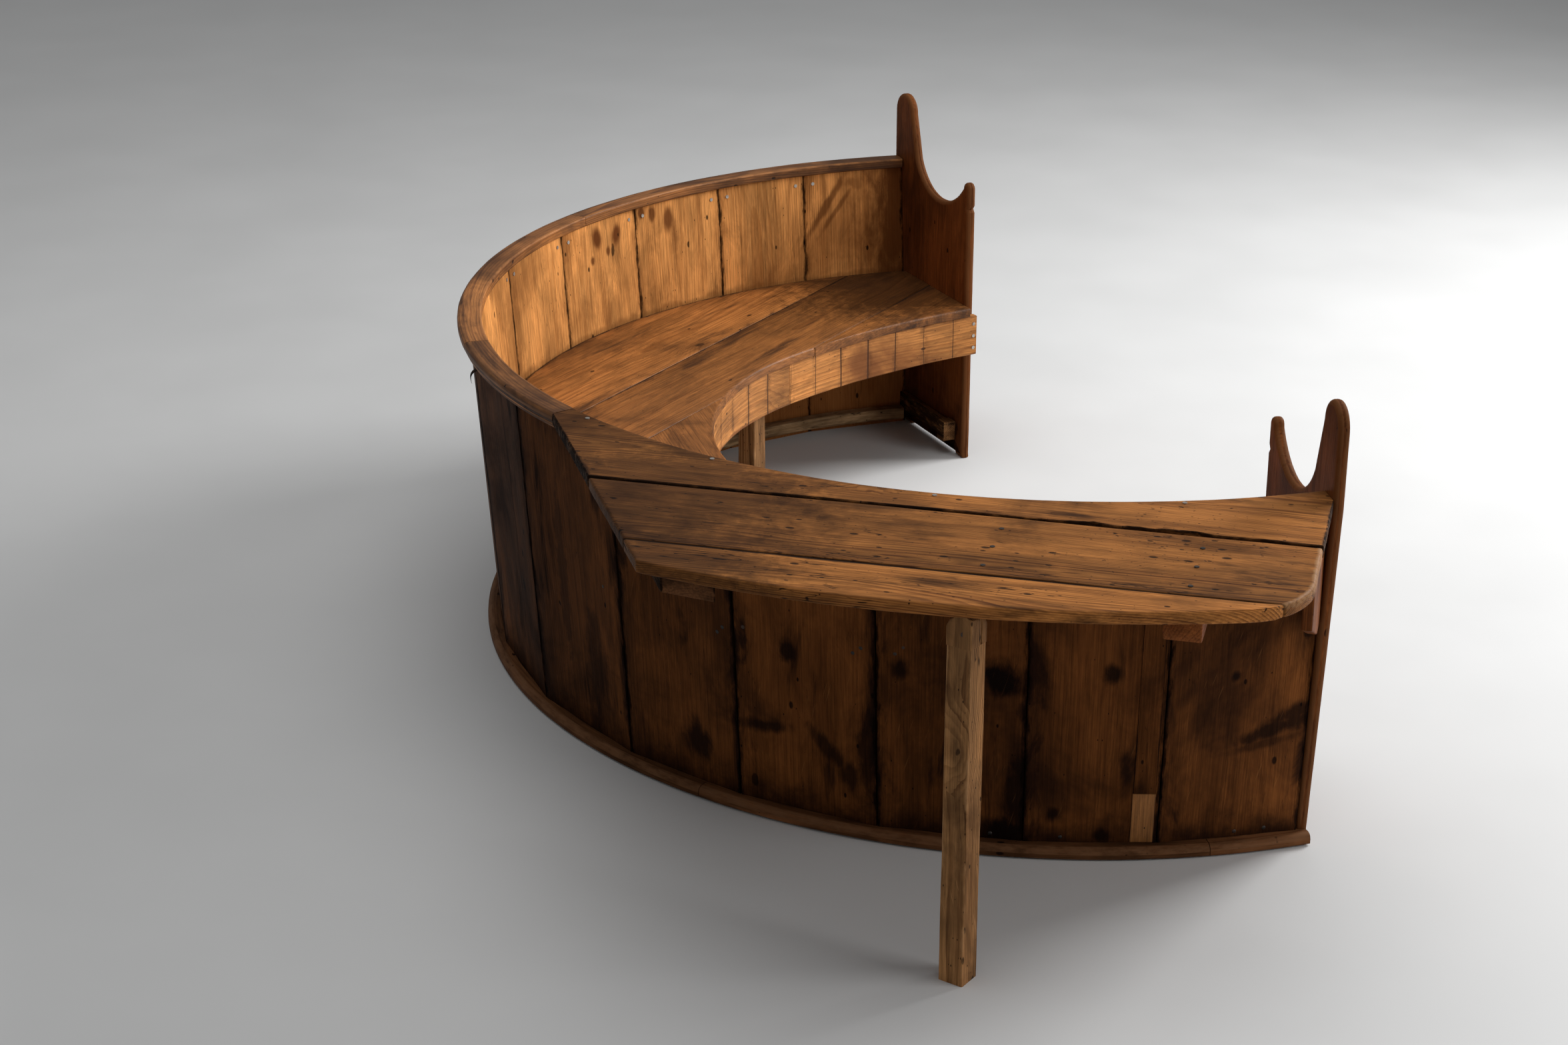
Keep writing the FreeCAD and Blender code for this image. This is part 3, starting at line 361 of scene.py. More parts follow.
def ribbon(
    front: Path,
    back: Path,
    heights: tuple[float, float],
    section: Section,
    figure: Figure,
    fibre: Array,
    ease: float = 0.003,
    count: int = 60,
    worn: float = 0.0007,
    kinds: tuple[float, float, float] = (-1.0, -1.0, -0.6),
    bite: Callable[[Array, Array], Array] | None = None,
) -> Shell:
    """Flat board between two lines in plan: its section carried from one end to the other.

    A ring's points lie at front + share (back - front), moved in by their insets, at their level.
    Insets carry an uneven line along each edge, and both faces rise and fall a little.

    Args:
        front, back: the two edges.
        heights: heights of the underside and the top.
        section, figure: cross-section and grain offsets.
        fibre: unit direction of the fibres in plan.
        ease, count: rounding of the two ends, and rings along the board.
        worn: how uneven the edges are.
        kinds: front edge, back edge and ends, below nought for a dirty seam and above it for a worn rim.
        bite: extra inset from the plan points and the section's shares.

    Returns:
        The board.
    """
    low, high = heights
    length = max(front.run()[-1], back.run()[-1])
    corners = np.array([p.shares()[c] for p in (front, back) for c in p.corners])
    share, shrink = eased_run(length, ease, count, corners)
    a, b = front.at(share), back.at(share)
    width = np.maximum(np.linalg.norm(b - a, axis=1), 1e-5)[:, None]
    way = ((b - a) / width)[:, None, :]
    fit = np.clip(width / (2.6 * section.support), 0.03, 1.0)
    shrink = np.minimum(shrink[:, None], 0.4 * width)
    side, edge = section.share, section.edge
    lines = [wander(share * length, 7 * figure.seed + k, 0.5)[:, None] for k in (1, 2)]
    uneven = np.where(side > 0.5, *lines)
    inset = np.maximum(section.inset + worn * edge * (0.5 + 0.5 * uneven), shrink)
    inset = np.where(section.at_ends(), inset, 0.0) * fit
    inset = np.where(edge == 0.0, np.minimum(inset, 0.8 * section.step * width), inset)
    inward = 1.0 - 2.0 * side
    plan = a[:, None, :] + (side * width + inward * inset)[..., None] * way
    if bite is not None:
        plan = plan + (inward * bite(plan, side) * fit * np.abs(inward))[..., None] * way
    rise = np.maximum(section.rise, shrink)
    hill = FACE_SWELL * wander(plan @ fibre, 5 * figure.seed + 3, 0.9) * (1.0 - edge)
    height = np.where(section.level > 0.5, high - rise, low + rise) + hill
    offset = plan - (a.mean(0) + b.mean(0)) / 2.0
    grain = figure.grain(offset @ fibre, offset @ np.array([-fibre[1], fibre[0]]), height - low)
    ends = np.clip(shrink / ease, 0.0, 1.0)
    kind = np.where(side > 0.5, kinds[1], kinds[0]) * edge
    kind = np.where(ends > edge, ends * kinds[2], kind)
    kind = np.where((kind > 0.0) & (section.level < 0.5), 0.3 * kind, kind)
    return Shell(lifted(plan, height), grain, figure.wear(kind, section.level))


def rounded_profile(corners: Array, radii: Array) -> tuple[Array, Array]:
    """Closed outline with each corner rounded: an arc tangent to its two sides.

    The arc's centre lies on the corner's bisector at r / sin(half the corner's angle), and its
    points run from one tangent point to the other.

    Args:
        corners: corner points in order.
        radii: one radius per corner.

    Returns:
        Points of the outline, and a mask that is 1 on the roundings.
    """
    before, after = np.roll(corners, 1, 0) - corners, np.roll(corners, -1, 0) - corners
    before /= np.linalg.norm(before, axis=1)[:, None]
    after /= np.linalg.norm(after, axis=1)[:, None]
    half = np.arccos(np.clip((before * after).sum(1), -1.0, 1.0)) / 2.0
    setback = (radii / np.tan(half))[:, None]
    blend = np.linspace(0.0, 1.0, 6)[None, :, None]
    start, stop = corners + before * setback, corners + after * setback
    bisector = before + after
    bisector /= np.linalg.norm(bisector, axis=1)[:, None]
    centre = corners + bisector * (radii / np.sin(half))[:, None]
    chord = start[:, None] * (1.0 - blend) + stop[:, None] * blend - centre[:, None]
    chord *= (radii[:, None] / np.maximum(np.linalg.norm(chord, axis=2), 1e-9))[..., None]
    rest = np.array([0.15, 0.5, 0.85])[None, :, None]
    side = stop[:, None] * (1.0 - rest) + np.roll(start, -1, 0)[:, None] * rest
    points = np.concatenate([centre[:, None] + chord, side], 1).reshape(-1, 2)
    return points, np.tile(np.append(np.ones(6), np.zeros(3)), len(corners))


@dataclass(frozen=True)
class Moulding:
    """Outline of a rail.

    Fields:
        inner, outer: radii of its two faces.
        low, high: heights of its underside and top.
        radii: corner roundings, from the inner low corner outwards.
        kinds: each corner, below nought for a dirty seam and above it for a worn rim.
    """

    inner: float
    outer: float
    low: float
    high: float
    radii: tuple[float, ...]
    kinds: tuple[float, ...] = (-0.8,) * 4

    def corners(self) -> Array:
        """The four corners as (radius, height)."""
        heights = (self.low, self.low, self.high, self.high)
        return np.stack([(self.inner, self.outer, self.outer, self.inner), heights], -1)


def swept(moulding: Moulding, angles: tuple[float, float], figure: Figure, centre: Array = CENTRE,
          count: int = 90) -> Shell:
    """Moulded rail: a rounded outline of radius and height carried round an arc in plan.

    Args:
        moulding: the outline.
        angles: plan angles of the start and the end.
        figure: the rail's grain offsets.
        centre, count: centre of the arc, and rings along it.

    Returns:
        The rail.
    """
    outline, edge = rounded_profile(moulding.corners(), np.array(moulding.radii))
    middle = outline.mean(0)
    angle = np.linspace(*angles, count)[:, None]
    run = np.radians(angle) * middle[0]
    uneven = wander(run, 11 * figure.seed + 1, 0.4)
    drawn = outline + (middle - outline) * (RAIL_WORN * (1.0 + uneven))[..., None]
    radius, height = drawn[..., 0], drawn[..., 1]
    grain = figure.grain(run, radius - middle[0], height - middle[1])
    edge = edge * np.repeat(moulding.kinds, len(edge) // len(moulding.kinds))
    points = lifted(centre + on_circle(radius, angle), height)
    return Shell(points, grain, figure.wear(edge, radius > middle[0]))


def plate(
    outline: Array,
    origin: Array,
    along: Array,
    out: Array,
    thickness: float,
    ease: float,
    figure: Figure,
    worn: float = 0.001,
    upright: bool = True,
    rub: float = 1.0,
) -> Shell:
    """Sawn board of any outline: the outline carried through the thickness, drawn in at both faces.

    Each point of the outline moves along its own normal by r (1 - cos a) while the depth grows by
    r (1 - sin a), so the edges round off, and a last ring further in ends the wear on each face.

    Args:
        outline: closed outline in the board's own upright plane.
        origin: plan point of the plane's origin.
        along, out: unit plan directions of the outline's first axis and of the thickness.
        thickness, figure: thickness of the board and its grain offsets.
        ease, worn: rounding of the edges, and how uneven they are.
        upright: fibres run up, and not along.
        rub: how worn the edges are.

    Returns:
        The board.
    """
    tangent = np.roll(outline, -1, 0) - np.roll(outline, 1, 0)
    tangent /= np.linalg.norm(tangent, axis=1)[:, None]
    following = np.roll(outline, -1, 0)
    area = (outline[:, 0] * following[:, 1] - following[:, 0] * outline[:, 1]).sum()
    inward = np.stack([-tangent[:, 1], tangent[:, 0]], -1) * np.sign(area)
    drawn, risen = ease * (1.0 - np.cos(QUARTER_TURN)), ease * (1.0 - np.sin(QUARTER_TURN))
    inset = np.concatenate([[ease + PLATE_FADE], drawn[::-1], [0.0], drawn, [ease + PLATE_FADE]])
    depth = np.concatenate([[0.0], risen[::-1], [thickness / 2.0], thickness - risen, [thickness]])
    edge = np.concatenate([[0.0], np.ones(5), [0.0], np.ones(5), [0.0]])
    uneven = worn * (0.5 + 0.5 * wander(Path(outline).run(), 13 * figure.seed + 1, 0.45))
    flat = outline + inward * (inset[:, None] + uneven * (inset < ease)[:, None])[..., None]
    deep = np.broadcast_to(depth[:, None], flat.shape[:2])
    points = lifted(origin + flat[..., :1] * along + deep[..., None] * out, flat[..., 1])
    fibres, width = (flat[..., 1], flat[..., 0]) if upright else (flat[..., 0], flat[..., 1])
    grain = figure.grain(fibres - fibres.mean(), width - width.mean(), deep)
    return Shell(points, grain, figure.wear(rub * edge[:, None], deep / thickness))


def densified(corners: Array) -> Array:
    """Closed outline through corners, each side split into equal steps of no less than the outline's step.

    Args:
        corners: corner points in order.

    Returns:
        Points of the outline.
    """
    following = np.roll(corners, -1, 0)
    count = np.maximum(1, (np.linalg.norm(following - corners, axis=1) / OUTLINE_STEP).astype(int))
    within = np.arange(count.sum()) - np.repeat(np.cumsum(count) - count, count)
    share = (within / np.repeat(count, count))[:, None]
    return np.repeat(corners, count, 0) * (1.0 - share) + np.repeat(following, count, 0) * share


def quarter(centre: tuple[float, float], radius: float, first: float, last: float) -> Array:
    """Arc in a board's own plane between two turns in degrees, counted from its first axis."""
    turn = np.radians(np.linspace(first, last, 14))
    return np.array(centre) + radius * np.stack([np.cos(turn), np.sin(turn)], -1)


def make_piece(name: str, shells: list[Shell], body: Body, finish: bpy.types.Material,
               nodes: tuple[str, ...] = ()) -> None:
    """Puts shells into one mesh with its grain and wear, and hands it to the frame.

    Args:
        name, shells: name of the piece, and its closed surfaces.
        body, finish: the body it rides on, and its material.
        nodes: the frame's nodes that it stands for.
    """
    shells = [s.outward() for s in shells]
    firsts = np.cumsum([0] + [s.points[..., 0].size for s in shells])
    points = np.concatenate([s.points.reshape(-1, 3) for s in shells])
    mesh = bpy.data.meshes.new(name)
    mesh.from_pydata(points.tolist(), [], [face for s, n in zip(shells, firsts) for face in s.faces(int(n))])
    for label in ("grain", "wear"):
        values = np.concatenate([getattr(s, label).reshape(-1, 3) for s in shells])
        layer = mesh.attributes.new(label, "FLOAT_VECTOR", "POINT")
        layer.data.foreach_set("vector", values.astype(np.float32).ravel())
    mesh.shade_smooth()
    mesh.set_sharp_from_angle(angle=math.radians(38.0))
    mesh.materials.append(finish)
    piece = bpy.data.objects.new(name, mesh)
    bpy.context.scene.collection.objects.link(piece)
    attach(piece, body.value)
    if nodes:
        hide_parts(*nodes)
    log.info("%s: %d points", name, len(points))


def stand_in(node: str, shells: list[Shell], finish: bpy.types.Material,
             body: Body = Body.FRAME) -> None:
    """Makes the worn piece that stands for one node of the frame."""
    make_piece("worn_" + node, shells, body, finish, (node,))


# Shader graphs


class Term:
    """A value in a shader graph, on which arithmetic adds nodes to the graph."""

    def __init__(self, graph: "Graph", socket: bpy.types.NodeSocket) -> None:
        """Keeps the graph and the socket that gives the value."""
        self.graph = graph
        self.socket = socket

    def step(self, operation: str, other: "Value") -> "Term":
        """One step of arithmetic, on vectors where the other value is a tuple."""
        return (self.graph.vector if isinstance(other, tuple) else self.graph.math)(operation, self, other)

    def __add__(self, other: "Value") -> "Term":
        """Sum."""
        return self.step("ADD", other)

    def __sub__(self, other: "Value") -> "Term":
        """Difference."""
        return self.step("SUBTRACT", other)

    def __rsub__(self, other: float) -> "Term":
        """Difference from a number."""
        return self.graph.math("SUBTRACT", other, self)

    def __mul__(self, other: "Value") -> "Term":
        """Product."""
        return self.step("MULTIPLY", other)

    def __truediv__(self, other: "Value") -> "Term":
        """Quotient."""
        return self.step("DIVIDE", other)

    def __abs__(self) -> "Term":
        """Size without its sign."""
        return self.graph.math("ABSOLUTE", self)

    def most(self, other: "Value") -> "Term":
        """The larger of two values."""
        return self.step("MAXIMUM", other)

    def above(self, other: "Value") -> "Term":
        """1 where the value is larger than another one, and nought elsewhere."""
        return self.step("GREATER_THAN", other)

    def ramp(self, low: "Value", high: "Value", start: float = 0.0, stop: float = 1.0) -> "Term":
        """Smooth step of the value from one bound to the other."""
        return self.graph.term("ShaderNodeMapRange", self, low, high, start, stop,
                               interpolation_type="SMOOTHSTEP", clamp=True)


Value = Term | float | tuple


class Graph:
    """Adds and joins the nodes of one material or group."""

    def __init__(self, tree: bpy.types.NodeTree) -> None:
        """Keeps the tree."""
        self.tree = tree

    def node(self, kind: str, **settings: object) -> bpy.types.Node:
        """New node of a kind with its settings."""
        made = self.tree.nodes.new(kind)
        for label, value in settings.items():
            setattr(made, label, value)
        return made

    def feed(self, socket: bpy.types.NodeSocket, value: Value) -> None:
        """Joins a socket to a value of the graph, or sets its own value."""
        if isinstance(value, Term):
            self.tree.links.new(value.socket, socket)
        else:
            socket.default_value = value

    def feed_named(self, made: bpy.types.Node, **values: Value) -> bpy.types.Node:
        """Feeds a node's inputs by name, and returns the node."""
        for label, value in values.items():
            self.feed(made.inputs[label], value)
        return made

    def term(self, kind: str, *values: Value, output: int | str = 0, **settings: object) -> Term:
        """Adds a node and feeds its first inputs.

        Args:
            kind: kind of the node.
            values: values of its first inputs.
            output: the output wanted, by number or name.
            settings: the node's settings.

        Returns:
            That output.
        """
        made = self.node(kind, **settings)
        for socket, value in zip(made.inputs, values):
            self.feed(socket, value)
        return Term(self, made.outputs[output])

    def math(self, operation: str, *values: Value, clamp: bool = False) -> Term:
        """Result of one arithmetic step."""
        return self.term("ShaderNodeMath", *values, operation=operation, use_clamp=clamp)

    def vector(self, operation: str, *values: Value) -> Term:
        """Result of one vector step."""
        output = "Value" if operation in ("LENGTH", "DOT_PRODUCT") else "Vector"
        return self.term("ShaderNodeVectorMath", *values, output=output, operation=operation)

    def parts(self, vector: Term) -> list[Term]:
        """The three components of a vector."""
        made = self.feed_named(self.node("ShaderNodeSeparateXYZ"), Vector=vector)
        return [Term(self, socket) for socket in made.outputs]

    def joined(self, *parts: Value) -> Term:
        """Vector of three components."""
        return self.term("ShaderNodeCombineXYZ", *parts)

    def attribute(self, name: str) -> Term:
        """Vector that the mesh carries under a name."""
        return self.term("ShaderNodeAttribute", output="Vector", attribute_name=name)

    def place(self) -> Term:
        """Place in the piece's own coordinates."""
        return self.term("ShaderNodeTexCoord", output="Object")

    def noise(self, vector: Term, scale: float, detail: float = 2.0, rough: float = 0.5, twist: float = 0.0,
              output: str = "Fac") -> Term:
        """Cloudy noise over a vector.

        Args:
            vector: where it is read.
            scale, detail, rough, twist: its pitch, its fine steps, their strength and its distortion.
            output: value or colour.

        Returns:
            The noise.
        """
        made = self.feed_named(self.node("ShaderNodeTexNoise"), Vector=vector, Scale=scale, Detail=detail,
                               Roughness=rough, Distortion=twist)
        return Term(self, made.outputs[output])

    def cells(self, x: Term, y: Term) -> tuple[Term, Term, Term]:
        """Points scattered on a plane.

        Args:
            x, y: place on the plane.

        Returns:
            Distance to the nearest point, and two random values of that point.
        """
        made = self.node("ShaderNodeTexVoronoi", voronoi_dimensions="2D", feature="F1")
        self.feed_named(made, Vector=self.joined(x, y, 0.0), Scale=1.0)
        colour = self.node("ShaderNodeSeparateColor")
        self.feed(colour.inputs[0], Term(self, made.outputs["Color"]))
        return (Term(self, made.outputs["Distance"]), *(Term(self, colour.outputs[k]) for k in (0, 1)))

    def chance(self, number: Term) -> Term:
        """Random value of each whole number."""
        made = self.node("ShaderNodeTexWhiteNoise", noise_dimensions="1D")
        return Term(self, self.feed_named(made, W=self.math("FLOOR", number)).outputs["Value"])

    def mix(self, factor: Value, first: Value, second: Value, kind: str = "MIX") -> Term:
        """Two colours mixed.

        Args:
            factor: share of the second colour.
            first, second: the colours.
            kind: way of mixing.

        Returns:
            The mixed colour.
        """
        made = self.node("ShaderNodeMix", data_type="RGBA", blend_type=kind, clamp_factor=True)
        self.feed(made.inputs[0], factor)
        for socket, value in zip(made.inputs[6:8], (first, second)):
            self.feed(socket, value if isinstance(value, Term) else (*value, 1.0))
        return Term(self, made.outputs[2])

    def surface(self, values: dict[str, Value], height: Term | None = None, strength: float = 0.0,
                distance: float = 0.0) -> None:
        """Ends a material in one shader, with a bump where there is a height.

        Args:
            values: the shader's inputs by name.
            height, strength, distance: the bump, its strength and its depth in metres.
        """
        shader = self.feed_named(self.node("ShaderNodeBsdfPrincipled"), **values)
        if height is not None:
            bump = self.node("ShaderNodeBump")
            self.feed_named(bump, Height=height, Strength=strength, Distance=distance)
            self.feed(shader.inputs["Normal"], Term(self, bump.outputs["Normal"]))
        self.feed_named(self.node("ShaderNodeOutputMaterial"), Surface=Term(self, shader.outputs[0]))


def new_material(name: str) -> tuple[bpy.types.Material, Graph]:
    """Material with an empty graph."""
    made = bpy.data.materials.new(name)
    made.use_nodes = True
    made.node_tree.nodes.clear()
    return made, Graph(made.node_tree)


class Effect:
    """Shared shader group with named inputs and outputs."""

    def __init__(self, name: str, vectors: tuple[str, ...], numbers: tuple[str, ...],
                 results: tuple[str, ...]) -> None:
        """Makes the group's sockets.

        Args:
            name: name of the group.
            vectors, numbers: inputs that are vectors, and inputs that are numbers.
            results: outputs, all of them numbers.
        """
        self.tree = bpy.data.node_groups.new(name, "ShaderNodeTree")
        kinds = ((vectors, "INPUT", "Vector"), (numbers, "INPUT", "Float"), (results, "OUTPUT", "Float"))
        for labels, way, kind in kinds:
            for label in labels:
                self.tree.interface.new_socket(name=label, in_out=way, socket_type="NodeSocket" + kind)
        self.graph = Graph(self.tree)
        self.entry = self.graph.node("NodeGroupInput")
        self.exit = self.graph.node("NodeGroupOutput")

    def given(self, *labels: str) -> list[Term]:
        """Inputs of the group by name."""
        return [Term(self.graph, self.entry.outputs[label]) for label in labels]

    def giving(self, **results: Term) -> "Effect":
        """The group with its outputs fed."""
        self.graph.feed_named(self.exit, **results)
        return self

    def place(self, graph: Graph, **values: Value) -> dict[str, Term]:
        """Puts the group in a material, and returns its outputs there."""
        made = graph.feed_named(graph.node("ShaderNodeGroup", node_tree=self.tree), **values)
        return {socket.name: Term(graph, socket) for socket in made.outputs}


def knot_effect() -> Effect:
    """Knots: scattered points on the plane of fibres and width, of which some are kept.

    The core is the smooth step of the distance below a size, the halo reaches three times as far,
    and the bulge bends the rings round it.

    Returns:
        The group.
    """
    made = Effect("pine_knots", ("Grain",), ("Density", "Size"), ("Core", "Halo", "Bulge"))
    g = made.graph
    grain, density, size = made.given("Grain", "Density", "Size")
    x, y, _ = g.parts(grain)
    far, chance, grown = g.cells(x * 2.6, y * 5.0)
    kept = density.above(chance)
    size = size * (grown + 0.45)
    far = far + (g.noise(grain, 60.0) - 0.5) * 0.05
    return made.giving(Core=far.ramp(size, size * 0.45) * kept, Halo=far.ramp(size * 3.4, size * 0.7) * kept,
                       Bulge=far.ramp(0.3, 0.0) * kept)


def figure_effect() -> Effect:
    """Pine figure: growth rings round a pith under the board, and fibres along it.

    The ring's number is the distance from the pith line, bent by slow noise and knots, over the ring
    spacing. Late wood darkens slowly over each ring and ends sharply.

    Returns:
        The group.
    """
    made = Effect("pine_figure", ("Grain",), ("Ring", "Warp", "Bulge"), ("Late", "Fibre", "Streak"))
    g = made.graph
    grain, ring, warp, bulge = made.given("Grain", "Ring", "Warp", "Bulge")
    _, y, z = g.parts(grain)
    bend = g.parts(g.noise(grain * (1.3, 5.0, 5.0), 1.0, output="Color") - (0.5, 0.5, 0.5))
    away = g.vector("LENGTH", g.joined(0.0, y + bend[0] * warp, z + bend[1] * warp))
    number = (away + bulge * 0.022) / ring
    part = g.math("FRACT", number)
    late = part.ramp(0.2, 0.9) * part.ramp(1.0, 0.93) * (g.chance(number) * 0.65 + 0.35)
    return made.giving(Late=late, Fibre=g.noise(grain * (7.0, 330.0, 330.0), 1.0, 4.0, 0.65),
                       Streak=g.noise(grain * (1.6, 34.0, 34.0), 1.0, 4.0, 0.6))


def mark_effect() -> Effect:
    """Old marks: dents as small ovals, fine scratches across the fibres and cracks along them.

    Returns:
        The group.
    """
    kinds = ("Dents", "Scratches", "Cracks")
    made = Effect("old_marks", ("Grain",), kinds, kinds)
    g = made.graph
    grain, dents, scratches, cracks = made.given("Grain", *kinds)
    x, y, z = g.parts(grain)
    wide = y + z
    ovals = []
    for pitch, size in ((17.0, 0.16), (52.0, 0.13)):
        far, chance, grown = g.cells(x * pitch, wide * (1.9 * pitch))
        reach = (grown + 0.25) * size
        ovals.append(far.ramp(reach, reach * 0.55) * dents.above(chance))
    tilted = g.joined(x * 9.0 + wide * 5.0, wide * 210.0 - x * 60.0, 0.0)
    lines = g.noise(tilted, 1.0).ramp(0.66, 0.74) * g.noise(grain, 4.0).ramp(0.45, 0.6)
    split = abs(g.noise(grain * (3.2, 42.0, 42.0), 1.0, 3.0, 0.55, 0.3) - 0.5).ramp(0.012, 0.003)
    split = split * g.noise(grain * (3.0, 14.0, 14.0), 1.0).ramp(0.52, 0.62)
    return made.giving(Dents=ovals[0].most(ovals[1]), Scratches=lines * scratches, Cracks=split * cracks)


def grime_and_shade_effect() -> Effect:
    """Grime and painted shade: slow blotches, dark stains drawn out along the fibres, dirt near the floor and
    along the seat's line, and painted shade below the seat.

    Returns:
        The group.
    """
    results = ("Blotch", "Drip", "Foot", "Sit", "Under", "Glow")
    made = Effect("old_grime", ("Place", "Grain"), (), results)
    g = made.graph
    place, grain = made.given("Place", "Grain")
    blotch = g.noise(place, 2.7, 5.0, 0.62, 0.5)
    drip = g.noise(grain * (2.4, 13.0, 13.0), 1.0, 5.0, 0.62, 0.4)
    shift = g.noise(place, 19.0, 4.0, 0.65) - 0.5
    height = g.parts(place)[2]
    low = height + shift * 0.14
    sat = abs(height - SEAT_TOP) + shift * 0.04
    mottle = g.noise(grain * (7.0, 21.0, 21.0), 1.0, 6.0, 0.68, 0.7)
    glow = g.noise(grain * (1.1, 7.0, 7.0), 1.0, 3.0) * 0.55 + mottle * 0.45
    return made.giving(Blotch=blotch.ramp(0.46, 0.7), Drip=drip.ramp(0.54, 0.70), Foot=low.ramp(0.12, 0.0),
                       # Under is painted shade: the boards darken below the seat, where shade falls.
                       Sit=sat.ramp(0.022, 0.002), Under=low.ramp(0.43, 0.33),
                       Glow=glow.ramp(0.34, 0.66, 0.56, 1.46))


def edge_effect() -> Effect:
    """Edges: the edge value broken up by noise, as dirt where it is below nought and as wear above it.

    The seam is the dirt's last step at the edge itself, and the smoke is its long fade into the board.

    Returns:
        The group.
    """
    made = Effect("board_edges", ("Grain",), ("Edge",), ("Seam", "Smoke", "Rub"))
    g = made.graph
    grain, edge = made.given("Grain", "Edge")
    shift = g.noise(grain * (24.0, 80.0, 80.0), 1.0, 4.0, 0.65) - 0.5
    cloud = g.noise(grain * (5.0, 16.0, 16.0), 1.0, 5.0, 0.62, 0.6) - 0.5
    return made.giving(Seam=(shift * 0.5 - edge).ramp(0.88, 1.04), Rub=(shift * 1.4 + edge).ramp(0.45, 1.05),
                       Smoke=(cloud * 3.2 - edge).ramp(0.45, 1.25))


def spot_effect() -> Effect:
    """One placed stain, knot or patch of painted shadow: an oval in the plane of two directions about a
    point, with a ragged edge.

    Returns:
        The group.
    """
    made = Effect("placed_spot", ("Place", "Centre", "Across", "Upward"), ("Ragged",), ("Mask",))
    g = made.graph
    place, centre, across, upward, ragged = made.given("Place", "Centre", "Across", "Upward", "Ragged")
    away = g.vector("SUBTRACT", place, centre)
    flat = g.joined(*(g.vector("DOT_PRODUCT", away, way) for way in (across, upward)), 0.0)
    rim = g.noise(place * (30.0, 30.0, 14.0), 1.0, 5.0, 0.65, 0.4) - 0.5
    return made.giving(Mask=(g.vector("LENGTH", flat) + rim * ragged).ramp(1.1, 0.35))


@dataclass
class Effects:
    """The shared shader groups, each made once."""

    knots: Effect = field(default_factory=knot_effect)
    figure: Effect = field(default_factory=figure_effect)
    marks: Effect = field(default_factory=mark_effect)
    grime: Effect = field(default_factory=grime_and_shade_effect)
    edges: Effect = field(default_factory=edge_effect)
    spot: Effect = field(default_factory=spot_effect)


# Finishes


def scaled(factor: float, colour: Colour) -> Colour:
    """A colour with each part times a factor."""
    return tuple(factor * part for part in colour)


@dataclass(frozen=True)
class Tint:
    """One face of a board: its colours, and how strongly its rings, stains and seams show, and with them the
    painted shade below the seat.
    """

    early: Colour
    late: Colour
    stain: Colour
    rub: Colour
    rings: float = 0.6
    soil: float = 0.6


@dataclass(frozen=True)
class Spot:
    """A knot, stain or patch of painted shadow: centre, two directions over its half sizes, strength and how
    ragged its rim is.
    """

    centre: tuple[float, float, float]
    across: tuple[float, float, float]
    upward: tuple[float, float, float]
    strength: float = 0.9
    ragged: float = 1.6


def on_back(angle: float, height: float, wide: float, tall: float, slant: float = 0.0, strength: float = 0.9,
            ragged: float = 1.6) -> Spot:
    """Spot on the back at a plan angle and a height, with its half sizes and its rise along the curve."""
    side, centre = on_circle(1.0, angle + 90.0), (*on_circle(SPOT_RADIUS, angle), height)
    return Spot(centre, (*side / wide, 0.0), (*-slant * side / tall, 1.0 / tall), strength, ragged)


def on_top(x: float, y: float, reach: float, strength: float) -> Spot:
    """Round spot on a level board at a plan point."""
    return Spot((x, y, 0.0), (1.0 / reach, 0.0, 0.0), (0.0, 1.0 / reach, 0.0), strength)


